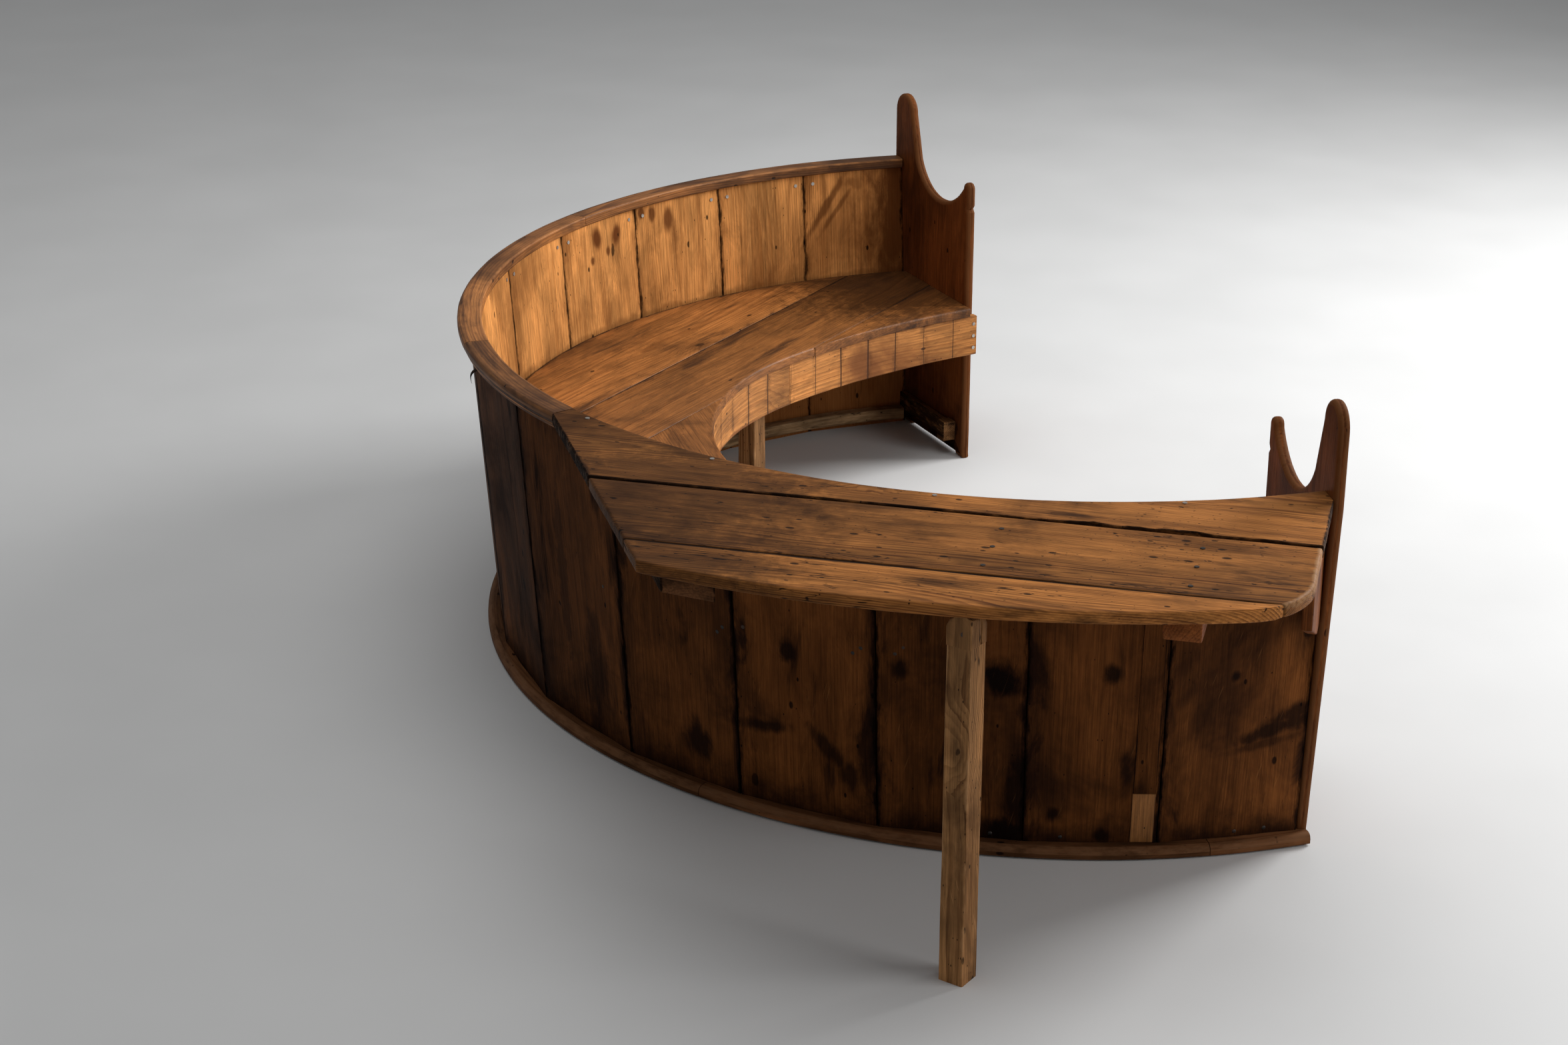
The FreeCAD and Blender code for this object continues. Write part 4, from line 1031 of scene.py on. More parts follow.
@dataclass(frozen=True)
class Pine:
    """Waxed old pine.

    Fields:
        name: name of the material.
        face, outer: tints of the face seen most, and of the outer face where it differs.
        ring: ring spacing.
        dents, scratches, cracks: amounts of old marks.
        knots, knot_size: share of possible knots kept, and their size.
        gloss, shine: roughness of the clean face, and strength of its reflection.
        kerfs: spacing of saw cuts across the fibres, or nothing.
        footed: dirt gathers near the floor and along the seat's line, and painted shade darkens the inner
            face below the seat.
        spots, outer_spots: knots, stains and patches of painted shadow at given points of the face, and
            knots, stains and darker patches at given points of the outer face.
        pitted: a point round which the dents are many.
    """

    name: str
    face: Tint
    outer: Tint | None = None
    ring: float = 0.0052
    dents: float = 0.10
    scratches: float = 0.25
    knots: float = 0.3
    knot_size: float = 0.075
    gloss: float = 0.40
    shine: float = 0.22
    kerfs: float = 0.0
    footed: bool = False
    cracks: float = 0.3
    spots: tuple[Spot, ...] = ()
    outer_spots: tuple[Spot, ...] = ()
    pitted: Spot | None = None

    def tinted(self, g: Graph, label: str, outside: Term | None) -> Value:
        """Mixes a colour or strength of the finish between its two faces where they differ.

        Args:
            g: the material's graph.
            label: name of the tint's field.
            outside: mask of the outer face, or nothing.

        Returns:
            The colour or strength.
        """
        inner = getattr(self.face, label)
        if outside is None:
            return inner
        outer = getattr(self.outer, label)
        if isinstance(inner, float):
            return outside * (outer - inner) + inner
        return g.mix(outside, inner, outer)

    def spotted(self, g: Graph, effects: Effects, place: Term, spots: tuple[Spot, ...]) -> Term:
        """Mask of placed spots: the strongest of them at each point.

        Args:
            g, effects: the material's graph and the shared groups.
            place: place on the piece.
            spots: the spots.

        Returns:
            The mask.
        """
        mask = None
        for spot in spots:
            oval = effects.spot.place(g, Place=place, Centre=spot.centre, Across=spot.across,
                                      Upward=spot.upward, Ragged=spot.ragged)
            here = oval["Mask"] * spot.strength
            mask = here if mask is None else mask.most(here)
        return mask

    def material(self, effects: Effects) -> bpy.types.Material:
        """Builds the material from the shared groups.

        Args:
            effects: the shared groups.

        Returns:
            The material.
        """
        made, g = new_material(self.name)
        grain, place = g.attribute("grain"), g.place()
        edge, outer, tone = g.parts(g.attribute("wear"))
        knots = effects.knots.place(g, Grain=grain, Density=self.knots, Size=self.knot_size)
        wood = effects.figure.place(g, Grain=grain, Ring=self.ring, Warp=0.05, Bulge=knots["Bulge"])
        dents: Value = self.dents
        if self.pitted is not None:
            dents = self.spotted(g, effects, place, (self.pitted,)) + self.dents
        marks = effects.marks.place(g, Grain=grain, Dents=dents, Scratches=self.scratches, Cracks=self.cracks)
        grime = effects.grime.place(g, Place=place, Grain=grain)
        edges = effects.edges.place(g, Edge=edge, Grain=grain)
        outside = outer.ramp(0.35, 0.65) if self.outer is not None else None
        early, late, stain, rub, rings, soil = (
            self.tinted(g, label, outside) for label in ("early", "late", "stain", "rub", "rings", "soil"))
        # Rings, fibres and the board's own tone
        streak = wood["Streak"].ramp(0.36, 0.70) * (rings * 0.5)
        colour = g.mix(g.math("ADD", wood["Late"] * rings, streak, clamp=True), early, late)
        shade = wood["Fibre"].ramp(0.3, 0.72, 1.24, 0.68) * ((tone * 0.5 + 0.75) * grime["Glow"])
        colour = g.mix(1.0, colour, g.joined(shade, shade, shade), "MULTIPLY")
        # Dirt and painted shade, knots and placed spots
        dirt_and_shade = (grime["Blotch"] * 0.9).most(grime["Drip"]).most(edges["Smoke"])
        # Footed boards add painted shade below the seat on the inner face, besides the dirt near the floor
        # and along the seat's line.
        if self.footed:
            sit = grime["Sit"] * (1.0 - outside)
            dirt_and_shade = dirt_and_shade.most(grime["Under"] * (1.5 - outside * 1.5)).most(grime["Foot"].most(sit))
        colour = g.mix(dirt_and_shade * soil, colour, stain)
        dark = scaled(0.3, (self.outer or self.face).stain)
        colour = g.mix((knots["Core"] * 0.85).most(knots["Halo"] * 0.35), colour, dark)
        if self.spots:
            mask = self.spotted(g, effects, place, self.spots)
            mask = mask if outside is None else mask * (1.0 - outside)
            colour = g.mix(mask, colour, scaled(0.85, self.face.stain))
        if self.outer_spots:
            mask = self.spotted(g, effects, place, self.outer_spots) * outside
            colour = g.mix(mask, colour, scaled(0.5, self.outer.stain))
        # Marks and edges
        pale = tuple(min(1.0, 1.4 * part + 0.02) for part in self.face.early)
        layers = ((marks["Dents"], 0.88, dark), (marks["Cracks"], 0.9, dark),
                  (marks["Scratches"], 0.45, pale), (edges["Rub"], 0.8, rub),
                  (edges["Seam"], 0.9, scaled(0.6, dark)))
        for mask, strength, tint in layers:
            colour = g.mix(mask * strength, colour, tint)
        height = wood["Late"] * 0.35 - wood["Fibre"] * 0.5
        height = height - marks["Dents"] * 1.6 - marks["Scratches"] * 0.35 - marks["Cracks"]
        if self.kerfs > 0.0:
            cut = self.kerf_mask(g, grain, outer)
            colour = g.mix(cut * 0.9, colour, dark)
            height = height - cut * 2.5
        dull = dirt_and_shade.most(edges["Seam"] * 3.0) * 0.12
        rough = g.math("ADD", wood["Fibre"] * 0.16 + self.gloss, dull, clamp=True)
        values = {"Base Color": colour, "Roughness": rough, "Specular IOR Level": self.shine}
        g.surface(values, height, strength=0.34, distance=0.0016)
        return made

    def kerf_mask(self, g: Graph, grain: Term, outer: Term) -> Term:
        """Saw cuts across the fibres on the front face, of uneven width and with smoky sides.

        Args:
            g, grain: the material's graph and the grain coordinates.
            outer: mask of the back face.

        Returns:
            A mask that is 1 in the cuts.
        """
        number = (g.parts(grain)[0] + g.noise(grain, 9.0, 1.0) * 0.006) / self.kerfs
        line = abs(g.math("FRACT", number) - 0.5)
        width = (g.chance(number) + 0.4) * 0.028
        smoke = line.ramp(0.20, 0.0) * g.noise(grain, 26.0, 4.0, 0.65).ramp(0.40, 0.72)
        return line.ramp(width, width * 0.5).most(smoke * 0.8) * outer.ramp(0.6, 0.4)


@dataclass(frozen=True)
class Iron:
    """Old dark iron: rust over blackened metal, read from the piece's own place."""

    name: str
    metal: Colour
    rust: Colour
    shine: float

    def material(self, effects: Effects) -> bpy.types.Material:
        """Builds the material.

        Args:
            effects: the shared groups, of which the grime is used.

        Returns:
            The material.
        """
        made, g = new_material(self.name)
        place = g.place()
        fine = g.noise(place, 240.0, 4.0, 0.65)
        grime = effects.grime.place(g, Place=place * (14.0, 14.0, 14.0), Grain=place)
        rusty = grime["Blotch"] * fine.ramp(0.3, 0.6)
        values = {"Base Color": g.mix(rusty, self.metal, self.rust), "Metallic": 0.95 - rusty * 0.7,
                  "Roughness": fine.ramp(0.2, 0.8, self.shine, self.shine + 0.25)}
        g.surface(values, fine, strength=0.3, distance=0.0006)
        return made


# Knots, stains and darker patches on the back, and painted shadow of the far panel: angle, height, half
# width, half height, and where given slant, strength, rim
INNER_SPOTS = (
    (-48.1, 0.672, 0.025, 0.036, 0.3, 1.0, 0.5), (-51.7, 0.665, 0.024, 0.034, -0.3, 1.0, 0.5),
    (-47.1, 0.619, 0.010, 0.014), (-50.0, 0.630, 0.010, 0.016), (-60.2, 0.664, 0.022, 0.044, 0.0, 0.9, 0.7),
    (-56.3, 0.698, 0.012, 0.018), (-57.9, 0.690, 0.014, 0.024), (-61.0, 0.60, 0.014, 0.08, 0.0, 0.5),
    (-82.3, 0.625, 0.085, 0.024, -1.45, 0.75, 1.3), (-83.8, 0.618, 0.060, 0.016, -1.3, 0.65, 1.3),
    # The last inner spot, wide and tall beside the far panel, is painted shadow of that panel on the boards.
    (-86.0, 0.680, 0.05, 0.02, 0.3, 0.5), (-94.0, 0.60, 0.20, 0.50, 0.0, 0.9, 1.2),
)
OUTER_SPOTS = (
    (47.0, 0.375, 0.024, 0.030), (57.3, 0.380, 0.024, 0.030), (75.0, 0.394, 0.024, 0.026),
    (74.8, 0.042, 0.022, 0.022), (85.4, 0.379, 0.012, 0.014), (65.9, 0.375, 0.060, 0.050, 0.0, 1.0),
    (67.3, 0.120, 0.035, 0.13), (66.5, 0.045, 0.06, 0.05, 0.0, 1.0), (89.6, 0.262, 0.130, 0.024, 0.33, 0.85),
    (91.0, 0.292, 0.075, 0.026, 0.42, 0.85), (88.0, 0.226, 0.090, 0.014, 0.20, 0.6, 1.4),
    (82.6, 0.300, 0.030, 0.060, 0.8, 0.45), (44.5, 0.196, 0.080, 0.020, 0.10, 0.85, 1.5),
    (50.6, 0.176, 0.06, 0.03, -0.9, 0.8), (37.0, 0.116, 0.045, 0.055), (52.6, 0.125, 0.03, 0.04, 0.0, 0.8),
    (70.6, 0.089, 0.02, 0.02), (19.5, 0.36, 0.03, 0.33, 0.0, 0.75), (24.0, 0.20, 0.06, 0.20, 0.0, 0.7),
    (33.0, 0.42, 0.05, 0.20, 0.0, 0.5), (54.5, 0.18, 0.03, 0.18, 0.0, 0.85), (8.0, 0.3, 0.07, 0.3, 0.0, 0.6),
    (78.0, 0.10, 0.02, 0.10, 0.0, 0.7), (14.0, 0.40, 0.50, 0.60, 0.0, 0.5, 0.9),
)
# Darker patches on the table, and painted shadow of the far panel on the seat's far end: plan point, reach,
# strength
TABLE_SPOTS = ((-0.98, 1.14, 0.42, 0.60), (-0.62, 1.24, 0.30, 0.55), (-1.32, 1.20, 0.26, 0.6),
               (-1.10, 0.75, 0.16, 0.35))
SEAT_SHADOW_SPOTS = ((1.10, 0.02, 0.36, 0.75),)
TABLE_PITS = (-1.44, 0.33, 0.17, 0.6)

# Early wood, late wood, stain, worn edge, and strength of the rings and of the dirt (with the painted shade
# below the seat on the back), for each kind of board
HONEY = Tint((0.62, 0.275, 0.082), (0.34, 0.118, 0.026), (0.15, 0.046, 0.011),
             (0.40, 0.16, 0.045), 0.45, 0.55)
# Outer face of the back: partly real dark stained pine, partly painted shade of a face turned from the light.
AMBER_WITH_SHADE = Tint((0.135, 0.045, 0.011), (0.070, 0.020, 0.005), (0.013, 0.005, 0.003),
             (0.09, 0.036, 0.012), 0.3, 0.92)
TABLE = Tint((0.345, 0.135, 0.034), (0.100, 0.032, 0.008), (0.022, 0.008, 0.003),
             (0.32, 0.17, 0.075), 0.85, 0.82)
SEAT = Tint((0.340, 0.128, 0.033), (0.142, 0.045, 0.010), (0.034, 0.012, 0.004),
            (0.33, 0.125, 0.034), 0.5, 0.85)
TRIM = Tint((0.340, 0.134, 0.037), (0.150, 0.051, 0.014), (0.036, 0.013, 0.005),
            (0.40, 0.165, 0.05), 0.8, 0.85)
FOOT = Tint((0.150, 0.062, 0.025), (0.085, 0.033, 0.013), (0.020, 0.009, 0.004),
            (0.19, 0.09, 0.042), soil=0.75)
BARE = Tint((0.420, 0.207, 0.078), (0.180, 0.076, 0.025), (0.045, 0.018, 0.007),
            (0.40, 0.21, 0.09), 0.85, 0.72)
SILL = Tint((0.520, 0.330, 0.165), (0.330, 0.185, 0.080), (0.060, 0.028, 0.012),
            (0.50, 0.34, 0.19), soil=0.8)
PANEL = Tint((0.180, 0.055, 0.014), (0.088, 0.025, 0.007), (0.030, 0.010, 0.004),
             (0.15, 0.058, 0.020), soil=0.7)
APRON = replace(HONEY, early=(0.68, 0.28, 0.075), rings=0.6, soil=0.95)
PATCH = replace(AMBER_WITH_SHADE, early=(0.30, 0.125, 0.036), late=(0.20, 0.076, 0.022), soil=0.3)


@dataclass
class Finishes:
    """Every finish of the settle."""

    effects: Effects

    def __post_init__(self) -> None:
        """Builds the materials."""
        self.back = self.pine(
            "back_pine", HONEY, AMBER_WITH_SHADE, ring=0.006, dents=0.04, scratches=0.15, knots=0.26, gloss=0.50,
            shine=0.035, footed=True, spots=tuple(on_back(*row) for row in INNER_SPOTS),
            outer_spots=tuple(on_back(*row) for row in OUTER_SPOTS))
        # The seat's placed spot is painted shadow of the far panel.
        self.seat = self.pine(
            "seat_pine", SEAT, ring=0.0056, dents=0.05, scratches=0.2, knots=0.28, knot_size=0.07, gloss=0.34,
            shine=0.18, spots=tuple(on_top(*row) for row in SEAT_SHADOW_SPOTS))
        self.table = self.pine(
            "table_pine", TABLE, ring=0.0040, dents=0.14, scratches=0.4, knots=0.22, knot_size=0.06,
            gloss=0.44, shine=0.07, cracks=1.0, pitted=on_top(*TABLE_PITS),
            spots=tuple(on_top(*row) for row in TABLE_SPOTS))
        self.apron = self.pine("apron_pine", APRON, ring=0.006, dents=0.12, scratches=0.3, gloss=0.38,
                               shine=0.16, kerfs=0.095)
        self.patch = self.pine("patch_pine", PATCH)
        self.trim = self.pine("trim_pine", TRIM, ring=0.005, dents=0.06, scratches=0.3, knots=0.15)
        self.foot = self.pine("foot_pine", FOOT, ring=0.005, dents=0.08, scratches=0.3, knots=0.12,
                              shine=0.03)
        self.bare = self.pine("bare_pine", BARE, ring=0.005, dents=0.2, scratches=0.9, knots=0.28,
                              knot_size=0.06, gloss=0.54, shine=0.09, cracks=1.0)
        self.sill = self.pine("sill_pine", SILL, ring=0.005, dents=0.2, scratches=0.6, knots=0.1, gloss=0.55,
                              shine=0.1, cracks=1.0)
        self.panel = self.pine("panel_pine", PANEL, ring=0.0058, dents=0.04, scratches=0.15, knots=0.25,
                               gloss=0.46, shine=0.04)
        self.iron = Iron("old_iron", (0.055, 0.05, 0.046), (0.085, 0.036, 0.016), 0.42).material(self.effects)
        self.nails = Iron("nail_steel", (0.46, 0.43, 0.39), (0.17, 0.10, 0.06), 0.34).material(self.effects)

    def pine(self, name: str, face: Tint, outer: Tint | None = None, **looks: object) -> bpy.types.Material:
        """Material of one kind of pine."""
        return Pine(name, face, outer, **looks).material(self.effects)


# Sub-assemblies


@dataclass(frozen=True)
class PanelPlane:
    """Where the near end panel stands in plan: its rear edge, its inner face and its thickness."""

    rear_radius: float = 1.354
    end_angle: float = 91.7
    splay: float = 9.0
    thickness: float = 0.022

    def rear(self) -> Array:
        """Plan point of the rear edge on the inner face."""
        return on_circle(self.rear_radius, self.end_angle)

    def along(self) -> Array:
        """Unit direction from the rear edge to the front edge."""
        turn = math.radians(self.splay)
        return np.array([math.cos(turn), -math.sin(turn)])

    def inward(self) -> Array:
        """Unit direction from the panel to the seat."""
        turn = math.radians(self.splay)
        return np.array([math.sin(turn), math.cos(turn)])


def back_radius(height: Array | float) -> Array | float:
    """Distance to the back's inner face at a height: straight from the floor's radius to the top's."""
    return FLOOR_RADIUS + (TOP_RADIUS - FLOOR_RADIUS) * height / UNDERSIDE


def circle_of(count: int, side: Array, up: Array) -> Array:
    """Points round a unit circle in the plane of two directions."""
    turn = np.linspace(0.0, 2.0 * math.pi, count + 1)[:-1, None]
    return np.cos(turn) * side + np.sin(turn) * up


@dataclass(frozen=True)
class BentNail:
    """Bent nail under the cap: a thinning round wire carried out and down along a curve."""

    angle: float = 3.0
    radius: float = 1.324
    reach: float = 0.030
    bend: float = 1.9
    height: float = 0.700
    rise: float = 0.006
    drop: float = 0.034
    aside: float = 0.010
    wire: float = 0.0046
    taper: float = 0.0034
    tilt: float = 0.6

    def shell(self) -> Shell:
        """Carries the wire: at a share t, reach sin(bend t) out, rise t - drop t^2 up and aside t^2 along.

        Returns:
            The nail.
        """
        t = np.linspace(0.0, 1.0, 20)[:, None, None]
        out, side = lifted(on_circle(1.0, self.angle)), lifted(on_circle(1.0, self.angle + 90.0))
        path = out * (self.radius + self.reach * np.sin(self.bend * t)) + side * self.aside * t ** 2
        path = path + UP * (self.height + self.rise * t - self.drop * t ** 2)
        ring = circle_of(12, side, UP + self.tilt * out * t)
        return metal_shell(path + (self.wire - self.taper * t) * ring)


@dataclass
class Back:
    """Curved back of leaning staves, with the strips let in beside its last near seam, and its nails."""

    finishes: Finishes
    panel: PanelPlane = PanelPlane()
    staves: int = 14
    wander_angle: float = 0.9
    wander_turn: float = 137.5
    drift: float = 3.0
    thickness: float = 0.022
    tongue: float = 0.0045
    seam_share: float = 0.7
    worn: float = 0.0007
    swell: float = 0.0006
    strip_edges: tuple[float, float] = (0.050, 0.005)
    strip_depth: float = 0.002
    strip_run: tuple[float, float, float] = (0.136, 0.700, 0.0010)
    patch_run: tuple[float, float, float] = (0.028, 0.135, 0.0014)
    nail_radius: float = 0.0045
    nail_rise: float = 0.0018
    nail_sunk: float = 0.0006
    nail_places: tuple[tuple[int, float, float], ...] = (
        (9, 0.112, 0.392), (9, 0.098, 0.378), (10, -0.118, 0.405), (10, 0.135, 0.412), (10, 0.118, 0.398),
        (11, -0.128, 0.410), (11, -0.112, 0.425), (12, -0.05, 0.036), (12, 0.09, 0.037), (13, 0.02, 0.036),
        (13, 0.08, 0.038), (8, 0.10, 0.385), (11, 0.06, 0.036),
    )

    def angles(self) -> Array:
        """Even steps, a small wander, and a drift away from the closed end.

        Returns:
            Plan angle of each stave.
        """
        i = np.arange(self.staves)
        share = (i + 0.5) / self.staves
        even = self.panel.end_angle * (2.0 * share - 1.0)
        small = self.wander_angle * np.sin(np.radians(self.wander_turn * i))
        return even + small - self.drift * np.sin(2.0 * math.pi * share)

    def seams(self) -> Array:
        """Plan angle of each seam, midway between two staves."""
        angles = self.angles()
        return (angles[1:] + angles[:-1]) / 2.0

    def panel_limit(self, out: Array, side: Array, reach: Array, flip: float) -> Array:
        """Place along a stave where the panel's inner face cuts it.

        Args:
            out, side: the stave's outward direction, and the one along its width.
            reach: distance of each point from the centre, outwards.
            flip: 1 at the near panel, -1 at the far one.

        Returns:
            Distance along the width for each reach.
        """
        mirror = np.array([flip, 1.0])
        normal, base = self.panel.inward() * mirror, self.panel.rear() * mirror
        return (base @ normal + SEAM_GAP - reach * (out @ normal)) / (side @ normal)

    def upright(self, i: int, edges: Callable[[Array, Array], tuple[Array, Array]], section: Section,
                base: float, thickness: float, height: Array, figure: Figure,
                outside: float | None = None) -> Shell:
        """Board that leans with one stave: its section carried up between two sloping lines.

        A ring's points lie at reach x outward direction + place x direction of the width, where the
        reach is the back's radius at that height plus the depth in the board.

        Args:
            i: number of the stave, from 0 at the far panel.
            edges: places of the two edges from the reach and the height.
            section, figure: cross-section and grain offsets.
            base, thickness: depth of the board's inner face behind the stave's, and its thickness.
            height: heights of the rings.
            outside: share of the outer tint, or from the depth.

        Returns:
            The board.
        """
        angle, height = self.angles()[i], height[:, None]
        out, side = on_circle(1.0, angle), on_circle(1.0, angle + 90.0)
        depth = base + np.where(section.level > 0.5, thickness - section.rise, section.rise)
        depth = depth + self.swell * wander(height, 90 + figure.seed, 0.6) * (1.0 - section.edge)
        reach = back_radius(height) + depth
        first, last = edges(reach, height)
        lines = [wander(height, start + figure.seed, 0.5) for start in (300, 400)]
        uneven = section.edge * self.worn * (0.5 + 0.5 * np.where(section.share > 0.5, *lines))
        inset = (section.inset + np.where(section.inset >= 0.0, uneven, 0.0)) * section.at_ends()
        x = first + section.share * (last - first) + (1.0 - 2.0 * section.share) * inset
        plan = reach[..., None] * out + x[..., None] * side
        wear = figure.wear(np.broadcast_to(-section.edge, x.shape),
                           (depth - base) / thickness if outside is None else outside)
        return Shell(lifted(plan, height), figure.grain(height, x, depth), wear)

    def stave(self, i: int) -> Shell:
        """One stave, between its two seams or the panel's face, with a tongue in the next one.

        Args:
            i: number of the stave, from 0 at the far panel.

        Returns:
            The stave.
        """
        angle, seams, last_one = self.angles()[i], self.seams(), i == self.staves - 1
        out, side = on_circle(1.0, angle), on_circle(1.0, angle + 90.0)

        def edges(reach: Array, height: Array) -> tuple[Array, Array]:
            """Both edges: the seam's line is drawn at a share of the depth.

            Args:
                reach, height: distance from the centre and height of each point.

            Returns:
                Places of the first and the last edge.
            """
            joint = (1.0 - self.seam_share) * back_radius(height) + self.seam_share * reach
            ends = [self.panel_limit(out, side, reach, -1.0), self.panel_limit(out, side, reach, 1.0)]
            if i > 0:
                ends[0] = -joint * math.tan(math.radians(angle - seams[i - 1]))
            if not last_one:
                ends[1] = joint * math.tan(math.radians(seams[i] - angle))
            return ends[0], ends[1]

        section = board_section((0.0011, 0.0011, 0.0014, 0.0014), SEAM_GAP, support=0.055, across=3,
                                tongue=0.0 if last_one else self.tongue)
        height = np.linspace(0.0, UNDERSIDE, 40)
        return self.upright(i, edges, section, 0.0, self.thickness, height, Figure(40 + i))

    def strip(self, low: float, high: float, proud: float, seed: int) -> Shell:
        """Narrow strip let in beside the last near seam.

        Args:
            low, high: heights of its ends.
            proud: how far it stands off the stave.
            seed: chooses its figure.

        Returns:
            The strip.
        """
        i = self.staves - 2
        turn = math.radians(self.seams()[i] - self.angles()[i])

        def edges(reach: Array, height: Array) -> tuple[Array, Array]:
            """Both edges, each at its distance from the seam."""
            seam = back_radius(height) * math.tan(turn)
            return seam - self.strip_edges[0], seam - self.strip_edges[1]

        section = board_section((0.0006,) * 4, support=0.005, across=3)
        return self.upright(i, edges, section, self.thickness - self.strip_depth, self.strip_depth + proud,
                            np.linspace(low, high, 24), Figure(seed), 1.0)

    def nail(self, i: int, place: float, height: float) -> Shell:
        """Round nail head on a stave's outer face: rings of a shallow dome.

        A ring at a turn t has radius r cos t and rise h sin t.

        Args:
            i: number of the stave.
            place: distance from the stave's middle.
            height: height of the nail.

        Returns:
            The head.
        """
        angle = self.angles()[i]
        out, side = lifted(on_circle(1.0, angle)), lifted(on_circle(1.0, angle + 90.0))
        up = lifted(on_circle((TOP_RADIUS - FLOOR_RADIUS) / UNDERSIDE, angle), 1.0)
        middle = out * (back_radius(height) + self.thickness - self.nail_sunk) + side * place + UP * height
        turn = np.radians([0.0, 20.0, 45.0, 70.0, 85.0])[:, None, None]
        ring = np.cos(turn) * self.nail_radius * circle_of(16, side, up)
        return metal_shell(middle + ring + np.sin(turn) * self.nail_rise * out)

    def build(self) -> None:
        """Makes every stave, the strips, the nail heads and the bent nail."""
        finishes = self.finishes
        for i in range(self.staves):
            stand_in("back_stave_%02d" % (i + 1), [self.stave(i)], finishes.back)
        heads = [self.nail(*place) for place in self.nail_places]
        for name, shells, slot, finish in (
            ("let_in_strip", [self.strip(*self.strip_run, 201)], Slot.BACK, finishes.back),
            ("let_in_patch", [self.strip(*self.patch_run, 202)], Slot.BACK, finishes.patch),
            ("outer_nail_heads", heads, Slot.NAILS, finishes.iron),
            ("bent_nail", [BentNail().shell()], Slot.IRON, finishes.iron),
        ):
            make_piece(name, shells, Body.FRAME, finish)


def inner_rail(low: float, high: float, depth: float, radius: float) -> Moulding:
    """Rail that touches the back's inner face at its foot."""
    outer = back_radius(low) - TOUCH
    return Moulding(outer - depth, outer, low, high, (radius,) * 4)


@dataclass
class Rails:
    """Cap, bead, plinth, sills and bearers that follow the back's curve."""

    finishes: Finishes
    panel: PanelPlane = PanelPlane()
    cap: Moulding = Moulding(1.297, 1.352, UNDERSIDE, TABLE_TOP, (0.0025, 0.0095, 0.0095, 0.004),
                             (-0.8, -0.9, -0.62, 0.7))
    cap_joint: float = 46.0
    cap_end: float = 22.0
    bead: Moulding = Moulding(1.32727, 1.34627, UNDERSIDE - 0.012, UNDERSIDE, (0.001, 0.0085, 0.0004, 0.0004))
    bead_line: float = 1.33727
    plinth: Moulding = Moulding(1.27956, 1.31156, 0.003, 0.026, (0.001, 0.003, 0.0125, 0.0015),
                                (-1.0, 0.4, 0.8, -1.0))
    plinth_line: float = 1.30156
    plinth_joint: float = 38.0
    plinth_return: float = 84.0
    sill: Moulding = inner_rail(0.020, 0.052, 0.036, 0.005)
    bearer: Moulding = inner_rail(0.366, SEAT_UNDERSIDE, 0.024, 0.002)
    bearer_end: float = 82.0
    joint_gap: float = 0.03
    batten_thickness: float = 0.018

    def end_angle(self, radius: float, depth: float) -> float:
        """Plan angle at which a radius meets the near panel, at a depth behind its inner face."""
        start = self.panel.rear() - depth * self.panel.inward()
        return plan_angle(line_circle(start, self.panel.along(), radius))

    def build(self) -> None:
        """Makes every rail in its lengths, each between two plan angles."""
        looks = self.finishes
        trim, foot, bare, pale = looks.trim, looks.foot, looks.bare, looks.sill
        cap_far = -self.end_angle((self.cap.inner + self.cap.outer) / 2.0, 0.0)
        bead_far = -self.end_angle(self.bead_line, 0.0)
        plinth_end = self.end_angle(self.plinth_line, self.panel.thickness)
        sill_end = self.end_angle(self.sill.outer, -self.batten_thickness)
        lengths = (
            ("cap_rail_far", self.cap, cap_far, -self.cap_joint, trim),
            ("cap_rail_middle", self.cap, -self.cap_joint, 0.0, trim),
            ("cap_rail_near", self.cap, 0.0, self.cap_end, trim),
            ("cap_bead", self.bead, bead_far, self.cap_end, trim),
            ("plinth_far", self.plinth, -plinth_end, -self.plinth_joint, foot),
            ("plinth_middle", self.plinth, -self.plinth_joint, self.plinth_joint, foot),
            ("plinth_near", self.plinth, self.plinth_joint, self.plinth_return, foot),
            ("plinth_return", self.plinth, self.plinth_return, plinth_end, foot),
            ("inner_sill_far", self.sill, -sill_end, 0.0, pale),
            ("seat_bearer_far", self.bearer, -self.bearer_end, 0.0, bare),
            ("inner_sill_near", self.sill, 0.0, sill_end, pale),
            ("seat_bearer_near", self.bearer, 0.0, self.bearer_end, bare),
        )
        for seed, (node, moulding, first, last, finish) in enumerate(lengths, 61):
            shell = swept(moulding, (first + self.joint_gap, last - self.joint_gap), Figure(seed))
            stand_in(node, [shell], finish)


@dataclass(frozen=True)
class Bar:
    """Straight bar on a panel's inner face: place along the panel, length, heights and thickness."""

    start: float
    length: float
    low: float
    high: float
    thickness: float


